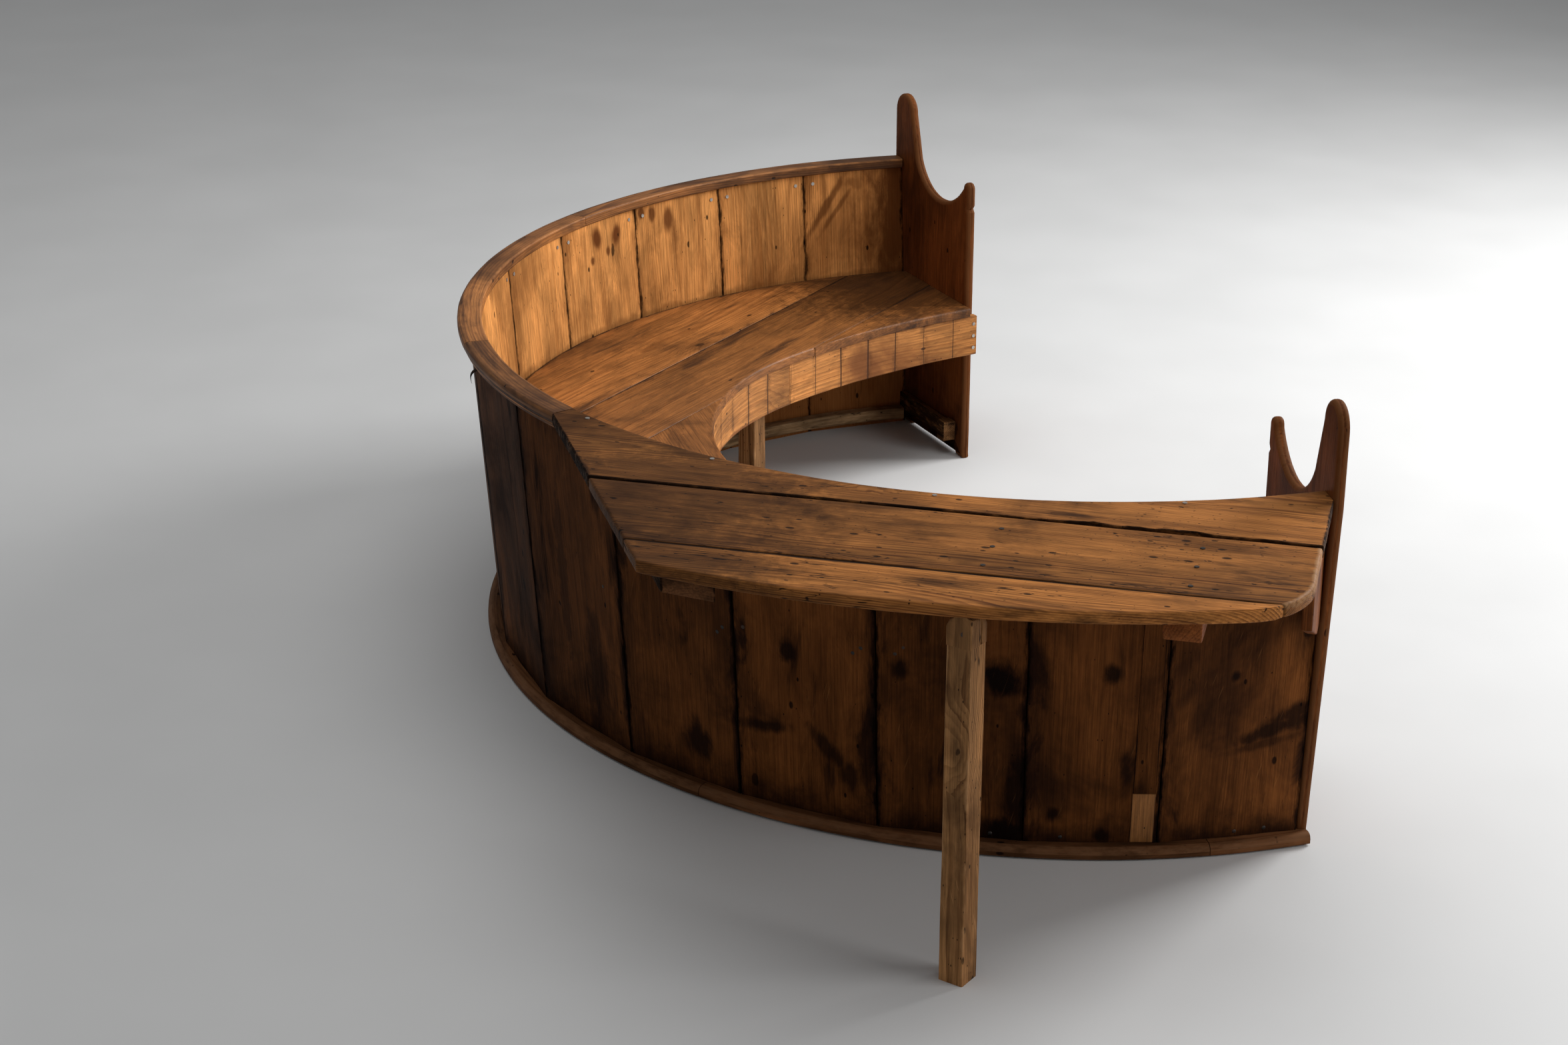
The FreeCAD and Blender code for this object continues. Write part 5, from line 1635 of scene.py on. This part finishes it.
@dataclass
class EndPanels:
    """Two end boards with horns, with the battens, blocks and bearers on their inner faces."""

    finishes: Finishes
    panel: PanelPlane = PanelPlane()
    width: float = 0.43193
    setback: float = 0.06836
    plinth_top: float = 0.026
    arch_rear: tuple[float, float] = (0.122, 0.156)
    arch_front: tuple[float, float] = (0.074, 0.040)
    arch_height: float = 0.042
    nick_height: float = 0.688
    nick_depth: float = 0.008
    tip_height: float = 0.758
    tip_radius: float = 0.017
    scoop: tuple[float, float] = (0.262, 0.678)
    horn_root: tuple[float, float] = (0.131, 0.757)
    horn_height: float = 0.917
    horn_radius: float = 0.049
    ease: float = 0.008
    worn: float = 0.0012
    batten_start: float = 0.090
    batten_height: float = 0.046
    batten_thickness: float = 0.018
    bearer_ends: tuple[float, float] = (0.080, 0.040)
    bearer_height: float = 0.040
    bearer_thickness: float = 0.024
    block_size: float = 0.038
    block_height: float = 0.052

    def outline(self) -> Array:
        """Outline of a panel, from the rear foot round the front to the horn: sides joined by arcs.

        Returns:
            Points in the panel's own plane.
        """
        width, nick, deep = self.width, self.nick_height, self.nick_depth
        tip_side, tip_back = self.tip_height - self.tip_radius, width - 2.0 * self.tip_radius
        sx, sz = self.scoop
        rx, rz = self.horn_root
        front = ((tip_back - sx) ** 2 + (tip_side - sz) ** 2) / (2.0 * (tip_side - sz))
        rear = ((sx - rx) ** 2 + (rz - sz) ** 2) / (2.0 * (rz - sz))
        front_turn = math.degrees(math.asin((tip_back - sx) / front))
        rear_turn = math.degrees(math.asin((sx - rx) / rear))
        foot = [(self.setback, 0.0), (self.arch_rear[0], 0.0), (self.arch_rear[1], self.arch_height),
                (width - self.arch_front[0], self.arch_height), (width - self.arch_front[1], 0.0),
                (width, 0.0)]
        return densified(np.concatenate([
            foot,
            [(width, nick - deep), (width - deep, nick), (width, nick + deep)],
            quarter((width - self.tip_radius, tip_side), self.tip_radius, 0.0, 180.0),
            quarter((sx, sz + front), front, -90.0 + front_turn, -90.0)[1:-1],
            quarter((sx, sz + rear), rear, -90.0, -90.0 - rear_turn),
            quarter((self.horn_radius, self.horn_height - self.horn_radius), self.horn_radius, 0.0, 180.0),
            [(0.0, UNDERSIDE), (self.setback, self.plinth_top)],
        ]))

    def bar(self, bar: Bar, mirror: Array, seed: int) -> Shell:
        """Bar on the inner face of one panel.

        Args:
            bar: its sizes.
            mirror: plan factors of the panel's half.
            seed: chooses its figure.

        Returns:
            The bar's shell.
        """
        way, off = self.panel.along(), self.panel.inward() * bar.thickness
        first = self.panel.rear() + way * bar.start
        last = first + way * bar.length
        front = straight((first + off) * mirror, (last + off) * mirror)
        back = straight(first * mirror, last * mirror)
        section = board_section((0.002,) * 4, support=0.006, across=2)
        return ribbon(front, back, (bar.low, bar.high), section, Figure(seed), way * mirror, 0.002, 24)

    def build(self) -> None:
        """Makes both panels and what is fixed to them."""
        bare, low = self.finishes.bare, self.arch_height
        block_start = self.width - self.arch_front[1] - self.block_size
        batten = Bar(self.batten_start, block_start - self.batten_start, low, low + self.batten_height,
                     self.batten_thickness)
        bearer = Bar(self.bearer_ends[0], self.width - sum(self.bearer_ends),
                     SEAT_UNDERSIDE - self.bearer_height, SEAT_UNDERSIDE, self.bearer_thickness)
        block = Bar(block_start, self.block_size, low, low + self.block_height, self.block_size)
        blocks = []
        for side, flip, seed in (("near", 1.0, 81), ("far", -1.0, 91)):
            mirror = np.array([flip, 1.0])
            plan = (self.panel.rear(), self.panel.along(), -self.panel.inward())
            board = plate(self.outline(), *(part * mirror for part in plan), self.panel.thickness, self.ease,
                          Figure(seed), self.worn)
            stand_in(side + "_end_panel", [board], self.finishes.panel)
            stand_in("foot_batten_" + side, [self.bar(batten, mirror, seed + 1)], bare)
            stand_in("arm_bearer_" + side, [self.bar(bearer, mirror, seed + 2)], bare)
            blocks.append(self.bar(block, mirror, seed + 3))
        stand_in("foot_blocks", blocks, bare)


def post_shell(middle: Array, turn: float, size: float, high: float, ease: float, figure: Figure) -> Shell:
    """Square post: a rounded square carried up from the floor, with its edges a little uneven.

    Args:
        middle, turn: plan point of its axis, and the turn of its sides about it in degrees.
        size, high: width of a side, and height of its top.
        ease, figure: rounding of its edges, and its grain offsets.

    Returns:
        The post.
    """
    half = size / 2.0
    square = np.array([(-half, -half), (half, -half), (half, half), (-half, half)])
    outline, edge = rounded_profile(square, np.full(4, ease))
    height = np.linspace(0.0, high, 60)
    corner = np.repeat(np.arange(4), len(outline) // 4)
    uneven = np.stack([wander(height, 17 * figure.seed + k, 0.35) for k in range(4)], 1)[:, corner]
    drawn = outline * (1.0 - POST_WORN * (0.5 + 0.5 * uneven))[..., None]
    c, s = math.cos(math.radians(turn)), math.sin(math.radians(turn))
    plan = middle + drawn @ np.array([[c, s], [-s, c]])
    grain = figure.grain(height[:, None], drawn[..., 0], drawn[..., 1])
    return Shell(lifted(plan, height[:, None]), grain, figure.wear(edge * (0.6 + 0.4 * uneven), 0.0))


@dataclass
class Seat:
    """Seat boards, apron and posts."""

    finishes: Finishes
    panel: PanelPlane = PanelPlane()
    radius: float = 1.28245
    seam_inner: float = 0.750
    seam_outer: float = 0.985
    bay: float = 0.779
    flank_bay: float = 1.774
    turn: float = 55.0
    board_turn: float = 135.0
    sliver: float = 0.6
    arm_overlap: float = 0.25
    arm_tip: float = 0.004
    corner_overlap: float = 0.3
    apron_low: float = 0.298
    apron_thickness: float = 0.020
    apron_radii: tuple[float, ...] = (0.004, 0.002, 0.0008, 0.0012)
    apron_gaps: tuple[float, float] = (0.03, 0.02)
    post_size: float = 0.050
    post_angle: float = 48.0
    post_ease: float = 0.003
    nosing: float = 0.006

    def flank_centre(self) -> Array:
        """Centre of the wide curve of the near half's front edge."""
        return on_circle(self.bay - self.flank_bay, self.turn)

    def fibre(self) -> Array:
        """Direction of the near half's boards."""
        return -on_circle(1.0, self.board_turn)

    def strip(self, p: float, q: float) -> Array:
        """Plan point of the near half: p along its boards, q square to them."""
        return on_circle(q, self.board_turn - 90.0) - on_circle(p, self.board_turn)

    def bay_end(self) -> Array:
        """Plan point where the inner seam meets the front edge's round part."""
        return self.strip(math.sqrt(self.bay ** 2 - self.seam_inner ** 2), self.seam_inner)

    def boards(self) -> dict[str, tuple[Path, Path]]:
        """Edges of the near half's boards: seams, and the arcs of the back and the front.

        Returns:
            Front and back edge of each board by its name.
        """
        base, way, normal = self.panel.rear(), self.panel.along(), self.panel.inward()
        fibre, flank, bay_end = self.fibre(), self.flank_centre(), self.bay_end()
        arm_seam = line_line(self.strip(0.0, self.seam_inner), fibre, normal, base @ normal)
        rear = line_circle(base, way, self.radius)
        arm_front = line_circle(base, way, self.flank_bay, flank)
        meet = line_circle(self.strip(-1.0, self.seam_inner), fibre, self.flank_bay, flank)
        turn_point = on_circle(self.bay, self.turn)
        half = math.sqrt(self.radius ** 2 - self.seam_outer ** 2)
        start, stop = self.strip(-half, self.seam_outer), self.strip(half, self.seam_outer)
        start_angle, stop_angle = plan_angle(start), plan_angle(stop)
        seam = straight(start, stop)
        outer_back = bow(self.radius, start_angle - self.sliver, stop_angle + self.sliver)
        meet_angle = plan_angle(meet, flank)
        inner_front = (straight(arm_seam, meet)
                       .then(bow(self.flank_bay, meet_angle, plan_angle(turn_point, flank), flank))
                       .then(bow(self.bay, self.turn, plan_angle(bay_end)))
                       .then(straight(bay_end, self.strip(self.seam_inner, self.seam_inner))))
        inner_back = (bow(self.radius, plan_angle(rear), start_angle).then(seam)
                      .then(bow(self.radius, stop_angle, 0.0)))
        arm = (bow(self.flank_bay, plan_angle(arm_front, flank), meet_angle + self.arm_overlap, flank),
               straight(arm_seam, meet - fibre * self.arm_tip))
        return {"seat_outer_board": (seam, outer_back), "seat_inner_board": (inner_front, inner_back),
                "seat_arm_board": arm}

    def board(self, node: str, front: Path, back: Path, nosed: bool, seed: int, fibre: Array) -> None:
        """Makes one seat board.

        Args:
            node: the node that it stands for.
            front, back: its edges.
            nosed: the front edge is rounded.
            seed: chooses its figure.
            fibre: direction of its fibres.
        """
        radii = (0.004, 0.002, 0.002, 0.008) if nosed else (0.002,) * 4
        section = board_section(radii, SEAM_GAP, support=0.045, across=3)
        # On nosed boards, the dark rim of the front edge is partly dirt and partly painted shade under the
        # nosing.
        shell = ribbon(front, back, (SEAT_UNDERSIDE, SEAT_TOP), section, Figure(seed), fibre, count=90,
                       kinds=(-0.5, -1.0, -0.8))
        stand_in(node, [shell], self.finishes.seat)

    def build(self) -> None:
        """Makes the boards, the apron and the posts."""
        for side, flip, first in (("near", 1.0, 101), ("far", -1.0, 111)):
            fibre = self.fibre() * np.array([flip, 1.0])
            for seed, (name, edges) in enumerate(self.boards().items(), first):
                front, back = edges if side == "near" else (path.mirrored() for path in edges)
                self.board("%s_%s" % (name, side), front, back, name != "seat_outer_board", seed, fibre)
        start, apex = self.bay_end(), self.strip(self.seam_inner, self.seam_inner)
        angle = plan_angle(start) - self.corner_overlap
        back = straight(start, apex).then(straight(apex, start * FLIP))
        self.board("seat_corner_board", bow(self.bay, angle, -angle), back, True, 121, np.array([1.0, 0.0]))
        self.build_apron()
        self.build_posts()

    def build_apron(self) -> None:
        """Makes the three lengths of the apron."""
        inner, wide = self.bay + self.nosing, self.flank_bay + self.nosing
        deep, low, high = self.apron_thickness, self.apron_low, SEAT_UNDERSIDE
        middle_gap, side_gap = self.apron_gaps
        angles = (-self.turn + middle_gap, self.turn - middle_gap)
        ring = Moulding(inner, inner + deep, low, high, self.apron_radii)
        middle = swept(ring, angles, Figure(131), count=160)
        stand_in("apron_middle", [middle], self.finishes.apron)
        flank = self.flank_centre()
        start = self.panel.rear() - self.panel.thickness * self.panel.inward()
        end = plan_angle(line_circle(start, self.panel.along(), wide + deep / 2.0, flank), flank)
        ring = Moulding(wide, wide + deep, low, high, self.apron_radii)
        for side, flip, seed in (("near", 1.0, 132), ("far", -1.0, 133)):
            shell = swept(ring, (flip * (self.turn + side_gap), flip * end), Figure(seed),
                          flank * np.array([flip, 1.0]), count=80)
            stand_in("apron_" + side, [shell], self.finishes.apron)

    def build_posts(self) -> None:
        """Makes the two posts behind the apron."""
        middle = self.bay + self.nosing + self.apron_thickness + TOUCH + self.post_size / 2.0
        for side, turn, seed in (("near", self.post_angle, 141), ("far", -self.post_angle, 142)):
            shell = post_shell(on_circle(middle, turn), turn, self.post_size, SEAT_UNDERSIDE, self.post_ease,
                               Figure(seed))
            stand_in("seat_post_" + side, [shell], self.finishes.bare)


@dataclass
class Table:
    """Fixed board with its bracket, and the drop leaf with its cleats."""

    finishes: Finishes
    panel: PanelPlane = PanelPlane()
    turn: float = math.radians(60.0)
    inner_radius: float = 1.297
    cap_outer: float = 1.352
    cap_end: float = 22.0
    cap_gap: float = 0.02
    panel_gap: float = 0.001
    hinge: float = 1.384
    hinge_gap: float = 0.009
    seam: float = 1.658
    seam_gap: float = 0.003
    rim: float = 1.807
    near_end: float = 0.711
    corner_radius: float = 0.165
    corner_notch: float = 0.011
    ease: float = 0.003
    worn: float = 0.0012
    bite_run: tuple[float, float] = (-0.66, -0.16)
    bite_fades: tuple[float, float] = (0.06, 0.16)
    bite_middle: float = -0.40
    bite_width: float = 0.10
    bite_depth: float = 0.009
    nick_depth: float = 0.004
    bracket_place: float = -0.701
    bracket_thickness: float = 0.020
    bracket: tuple[tuple[float, float], ...] = (
        (1.1381, UNDERSIDE - TOUCH), (1.3595, UNDERSIDE - TOUCH), (1.3595, 0.566), (1.1772, 0.481),
        (1.1205, 0.481))
    cleat_start: float = 0.020
    cleat_thickness: float = 0.036
    near_cleat_place: float = -0.540
    near_cleat_width: float = 0.066
    near_cleat_drop: float = 0.006
    near_cleat_inset: float = 0.010
    near_cleat_bevel: tuple[float, float] = (0.010, 0.016)
    far_cleat_inset: float = 0.020
    far_cleat_lines: tuple[float, float] = (0.122, 0.040)

    def at(self, x: Array | float, v: Array | float) -> Array:
        """Plan point of the table: x along the hinge line, v outwards, square to it."""
        c, s = math.cos(self.turn), math.sin(self.turn)
        return np.stack(np.broadcast_arrays(x * c - v * s, x * s + v * c), -1)

    def fibre(self) -> Array:
        """Direction of the boards' fibres, along the hinge line."""
        return self.at(1.0, 0.0)

    def far_edge(self) -> float:
        """Distance of the leaf's far end from the centre, along +Y."""
        return self.cap_outer * math.cos(math.radians(self.cap_end))

    def far_x(self, v: Array | float) -> Array | float:
        """Place along the hinge line where the far end cuts a line at v."""
        return (self.far_edge() - v * math.cos(self.turn)) / math.sin(self.turn)

    def corner_middle(self) -> tuple[float, float]:
        """Middle of the leaf's round corner: x along the hinge line, v outwards."""
        x = self.corner_radius - self.near_end
        return x, math.sqrt((self.rim - self.corner_radius) ** 2 - x ** 2)

    def near_line(self, v: Array | float) -> Array:
        """Near end of the leaf at v: straight, then the arc of its corner."""
        x, middle = self.corner_middle()
        return x - np.sqrt(self.corner_radius ** 2 - np.clip(v - middle, 0.0, self.corner_radius) ** 2)

    def chipped(self, plan: Array, share: Array) -> Array:
        """Bites out of the hinge edge: uneven hollows along its near third, fading at both ends.

        Args:
            plan: plan points of the board's rings.
            share: share of the width of each point.

        Returns:
            Extra inset at the hinge edge.
        """
        x = plan @ self.fibre()
        start, stop = self.bite_run
        rise, fall = self.bite_fades
        near = np.clip((x - start) / rise, 0.0, 1.0) * np.clip((stop - x) / fall, 0.0, 1.0)
        middle = np.exp(-((x - self.bite_middle) / self.bite_width) ** 2)
        deep = (0.4 + 1.2 * middle) * np.clip(wander(x, 501, 0.22) + 0.5, 0.0, None) * self.bite_depth
        deep = deep + np.clip(wander(x, 502, 0.05), 0.0, None) * self.nick_depth
        return np.where(share > 0.95, near * deep, 0.0)

    def board(self, node: str, front: Path, back: Path, section: Section, seed: int, body: Body,
              **looks: object) -> None:
        """Makes one board of the table top.

        Args:
            node, body: the node that it stands for and the body it rides on.
            front, back, section: its edges and cross-section.
            seed: chooses its figure.
            looks: other options of the ribbon.
        """
        shell = ribbon(front, back, (UNDERSIDE, TABLE_TOP), section, Figure(seed), self.fibre(),
                       worn=self.worn, **looks)
        stand_in(node, [shell], self.finishes.table, body)

    def build_fixed(self) -> None:
        """Makes the fixed board and its bracket."""
        base, way = self.panel.rear(), self.panel.along()
        inner = line_circle(base, way, self.inner_radius)
        v, first = self.hinge - self.hinge_gap / 2.0, self.cap_end + self.cap_gap
        front = bow(self.inner_radius, plan_angle(inner), first)
        corner, far = self.at(-self.near_end, v), self.at(self.far_x(v), v)
        back = (straight(base + way * self.panel_gap, corner).then(straight(corner, far))
                .then(straight(far, on_circle(self.cap_outer, first))))
        section = board_section((0.003, 0.003, 0.0035, 0.006))
        self.board("table_fixed_board", front, back, section, 157, Body.FRAME, count=170,
                   kinds=(0.2, -1.0, 0.2), bite=self.chipped)
        outline = densified(np.array(self.bracket))
        bracket = plate(outline, self.at(self.bracket_place, 0.0), self.at(0.0, 1.0), self.fibre(),
                        self.bracket_thickness, self.ease, Figure(152), rub=0.4)
        stand_in("table_end_bracket", [bracket], self.finishes.panel)

    def build_leaf(self) -> None:
        """Makes the leaf's two boards."""
        v = np.linspace(self.hinge + self.hinge_gap / 2.0, self.seam - self.seam_gap / 2.0, 120)
        near, far = Path(self.at(self.near_line(v), v)), Path(self.at(self.far_x(v), v))
        section = board_section((0.003, 0.003, 0.006, 0.007), across=60)
        self.board("leaf_middle_board", near, far, section, 154, Body.LEAF, ease=0.0035, count=60,
                   kinds=(0.85, 0.3, -1.5))
        start = self.seam + self.seam_gap / 2.0
        stop = self.corner_middle()[1] * self.rim / (self.rim - self.corner_radius)
        v = np.linspace(start + self.corner_notch, stop, 40)
        corner = Path(self.at(self.near_line(v), v))
        far_corner = np.array([-math.sqrt(self.rim ** 2 - self.far_edge() ** 2), self.far_edge()])
        back = corner.then(bow(self.rim, plan_angle(corner.points[-1]), plan_angle(far_corner)))
        front = straight(self.at(self.near_line(start), start), self.at(self.far_x(start), start))
        section = board_section((0.003, 0.005, 0.007, 0.003))
        self.board("leaf_outer_board", front, back, section, 156, Body.LEAF, ease=0.005, count=170,
                   kinds=(-1.5, 0.3, 0.5))

    def build_cleats(self) -> None:
        """Makes the two cleats under the leaf."""
        low, high = UNDERSIDE - self.cleat_thickness, UNDERSIDE - TOUCH
        foot, place = low - self.near_cleat_drop, self.near_cleat_place
        start = self.hinge + self.hinge_gap / 2.0 + self.cleat_start
        end = math.sqrt(self.rim ** 2 - place ** 2) - self.near_cleat_inset
        back, rise = self.near_cleat_bevel
        corners = [(start, foot), (end - back, foot), (end, foot + rise), (end, high), (start, high)]
        cleat = plate(densified(np.array(corners)), self.at(place, 0.0), self.at(0.0, 1.0), self.fibre(),
                      self.near_cleat_width, self.ease, Figure(163), upright=False, rub=0.5)
        stand_in("leaf_cleat_near", [cleat], self.finishes.panel, Body.LEAF)
        lines = []
        for inset in self.far_cleat_lines:
            y = self.far_edge() - inset
            outer_x = -math.sqrt((self.rim - self.far_cleat_inset) ** 2 - y ** 2)
            inner_x = (y * math.cos(self.turn) - start) / math.sin(self.turn)
            lines.append(straight(np.array([outer_x, y]), np.array([inner_x, y])))
        section = board_section((self.ease,) * 4, across=4)
        slant = ribbon(*lines, (low, high), section, Figure(164), np.array([1.0, 0.0]), count=40)
        stand_in("leaf_cleat_far", [slant], self.finishes.foot, Body.LEAF)

    def build(self) -> None:
        """Makes the whole table."""
        self.build_fixed()
        self.build_leaf()
        self.build_cleats()


@dataclass
class Leg:
    """Folding leg: a square post whose slotted, rounded top turns about a pin."""

    finishes: Finishes
    middle: tuple[float, float] = (-1.594875, 0.747596)
    size: float = 0.050
    turn: float = 40.0
    table_turn: float = 60.0
    pivot: float = 0.678
    top_radius: float = 0.033
    slot_half: float = 0.0034
    slot_low: float = 0.653
    prong_middle: float = 0.0145
    ease: float = 0.0028
    rub: float = 0.3
    seed: int = 171

    def prong(self, side: float) -> Shell:
        """One side of the slotted top: rays from its middle, each to the nearest of its bounding planes.

        The bounds are the post's four sides, the slot's wall, and the two upright planes at
        sqrt(R^2 - (z - pivot)^2), which draw in as the height grows and so round the top.

        Args:
            side: 1 or -1, the side of the slot.

        Returns:
            The prong.
        """
        rounding = self.top_radius * np.sin(np.radians(np.linspace(8.0, 80.0, 12)))
        height = np.append(np.linspace(self.slot_low - 0.001, self.pivot, 6), self.pivot + rounding)
        above = np.maximum(height - self.pivot, 0.0)
        half = np.where(above > 0.0, np.sqrt(self.top_radius ** 2 - above ** 2), FAR_OFF)[:, None]
        ray = np.radians(np.linspace(0.0, 360.0, 49)[:-1])
        way = np.stack([np.cos(ray), np.sin(ray)], -1)
        start = np.array([0.0, side * self.prong_middle])
        twist = np.radians(self.turn - self.table_turn + np.array([0.0, 90.0, 180.0, 270.0]))
        sides = np.stack([np.cos(twist), np.sin(twist)], -1)
        normals = np.concatenate([sides, [[0.0, -side], [1.0, 0.0], [-1.0, 0.0]]])
        fixed = np.tile([self.size / 2.0] * 4 + [-self.slot_half], (len(height), 1))
        room = np.concatenate([fixed, half, half], 1)[:, None, :] - start @ normals.T
        speed = way @ normals.T
        far = np.where(speed > 1e-6, room / np.maximum(speed, 1e-6), FAR_OFF).min(-1)
        local = start + far[..., None] * way
        turn = math.radians(self.table_turn)
        spin = np.array([[math.cos(turn), math.sin(turn)], [-math.sin(turn), math.cos(turn)]])
        figure, z = Figure(self.seed), height[:, None]
        grain = figure.grain(z, local[..., 0], local[..., 1])
        points = lifted(np.array(self.middle) + local @ spin, z)
        return Shell(points, grain, figure.wear(np.full(far.shape, self.rub), 0.0))

    def build(self) -> None:
        """Makes the leg."""
        post = post_shell(np.array(self.middle), self.turn, self.size, self.slot_low, self.ease,
                          Figure(self.seed))
        stand_in("leg", [post, self.prong(1.0), self.prong(-1.0)], self.finishes.bare, Body.LEG)


@dataclass
class Ironwork:
    """Hinges, hanger, pivot and nails, whose solids stay and take a finish."""

    finishes: Finishes
    iron: tuple[str, ...] = ("hinge_frame_straps", "hinge_leaf_straps", "hinge_pins", "leg_hanger",
                             "leg_pivot_pin", "leaf_nails")
    nails: tuple[str, ...] = ("frame_nails",)

    def build(self) -> None:
        """Gives each node its finish."""
        for names, finish in ((self.iron, self.finishes.iron), (self.nails, self.finishes.nails)):
            for name in names:
                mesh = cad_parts[name].data
                mesh.materials.clear()
                mesh.materials.append(finish)
                log.info("%s: dressed", name)


@dataclass(frozen=True)
class Lamp:
    """Soft square lamp: where it hangs, the point it is turned to, its size in metres, its power in watts."""

    name: str
    place: tuple[float, float, float]
    aim: tuple[float, float, float]
    size: float
    power: float

    def hang(self) -> None:
        """Makes the lamp."""
        data = bpy.data.lights.new(self.name, "AREA")
        data.shape = "SQUARE"
        data.size = self.size
        data.energy = self.power
        lamp = bpy.data.objects.new(self.name, data)
        lamp.location = self.place
        x, y, z = np.array(self.place) - np.array(self.aim)
        lamp.rotation_euler = (math.atan2(math.hypot(x, y), z), 0.0, math.atan2(y, x) + math.pi / 2.0)
        bpy.context.scene.collection.objects.link(lamp)


@dataclass
class Studio:
    """Pale floor, soft lamps and the camera."""

    place: tuple[float, float, float] = (-5.5384, 2.1269, 2.5271)
    lens: float = 62.0
    sensor: float = 36.0
    pitch: float = 68.325
    heading: float = -105.05
    sky: tuple[float, float, float, float] = (0.86, 0.87, 0.88, 1.0)
    sky_strength: float = 0.27
    floor_half: float = 30.0
    lamps: tuple[Lamp, ...] = (
        Lamp("key", (0.9, -4.6, 3.2), (0.0, 0.5, 0.4), 2.4, 300.0),
        Lamp("fill", (-4.2, -3.8, 2.6), (-0.7, 0.2, 0.4), 3.0, 95.0),
        Lamp("top", (0.2, 0.6, 5.5), (0.0, 0.4, 0.0), 4.5, 110.0),
    )

    def build_floor(self) -> None:
        """Makes the floor: a wide flat square with a pale, slightly uneven finish."""
        corners = self.floor_half * np.array([(-1, -1, 0), (1, -1, 0), (1, 1, 0), (-1, 1, 0)])
        mesh = bpy.data.meshes.new("studio_floor")
        mesh.from_pydata(corners.tolist(), [], [(0, 1, 2, 3)])
        made, g = new_material("pale_floor")
        cloud = g.noise(g.place(), 2.0, 4.0)
        g.surface({"Base Color": g.mix(cloud, (0.66, 0.66, 0.655), (0.72, 0.72, 0.715)),
                   "Roughness": cloud.ramp(0.2, 0.8, 0.55, 0.7)})
        mesh.materials.append(made)
        floor = bpy.data.objects.new("studio_floor", mesh)
        bpy.context.scene.collection.objects.link(floor)

    def build(self) -> None:
        """Makes the stage, the light and the camera."""
        self.build_floor()
        for lamp in self.lamps:
            lamp.hang()
        scene = bpy.context.scene
        scene.world = bpy.data.worlds.new("studio_world")
        scene.world.use_nodes = True
        background = scene.world.node_tree.nodes["Background"]
        background.inputs["Color"].default_value = self.sky
        background.inputs["Strength"].default_value = self.sky_strength
        data = bpy.data.cameras.new("camera")
        data.lens = self.lens
        data.sensor_width = self.sensor
        scene.camera = bpy.data.objects.new("camera", data)
        scene.camera.location = self.place
        scene.camera.rotation_euler = (math.radians(self.pitch), 0.0, math.radians(self.heading))
        scene.collection.objects.link(scene.camera)
        scene.view_settings.view_transform = "Standard"


def main() -> None:
    """Builds and dresses every sub-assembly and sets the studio."""
    logging.basicConfig(level=logging.INFO, format="%(message)s")
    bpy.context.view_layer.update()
    finishes = Finishes(Effects())
    for kind in (Back, Rails, EndPanels, Seat, Table, Leg, Ironwork):
        kind(finishes).build()
        log.info("%s done", kind.__name__)
    Studio().build()


if __name__ == "__main__":
    main()
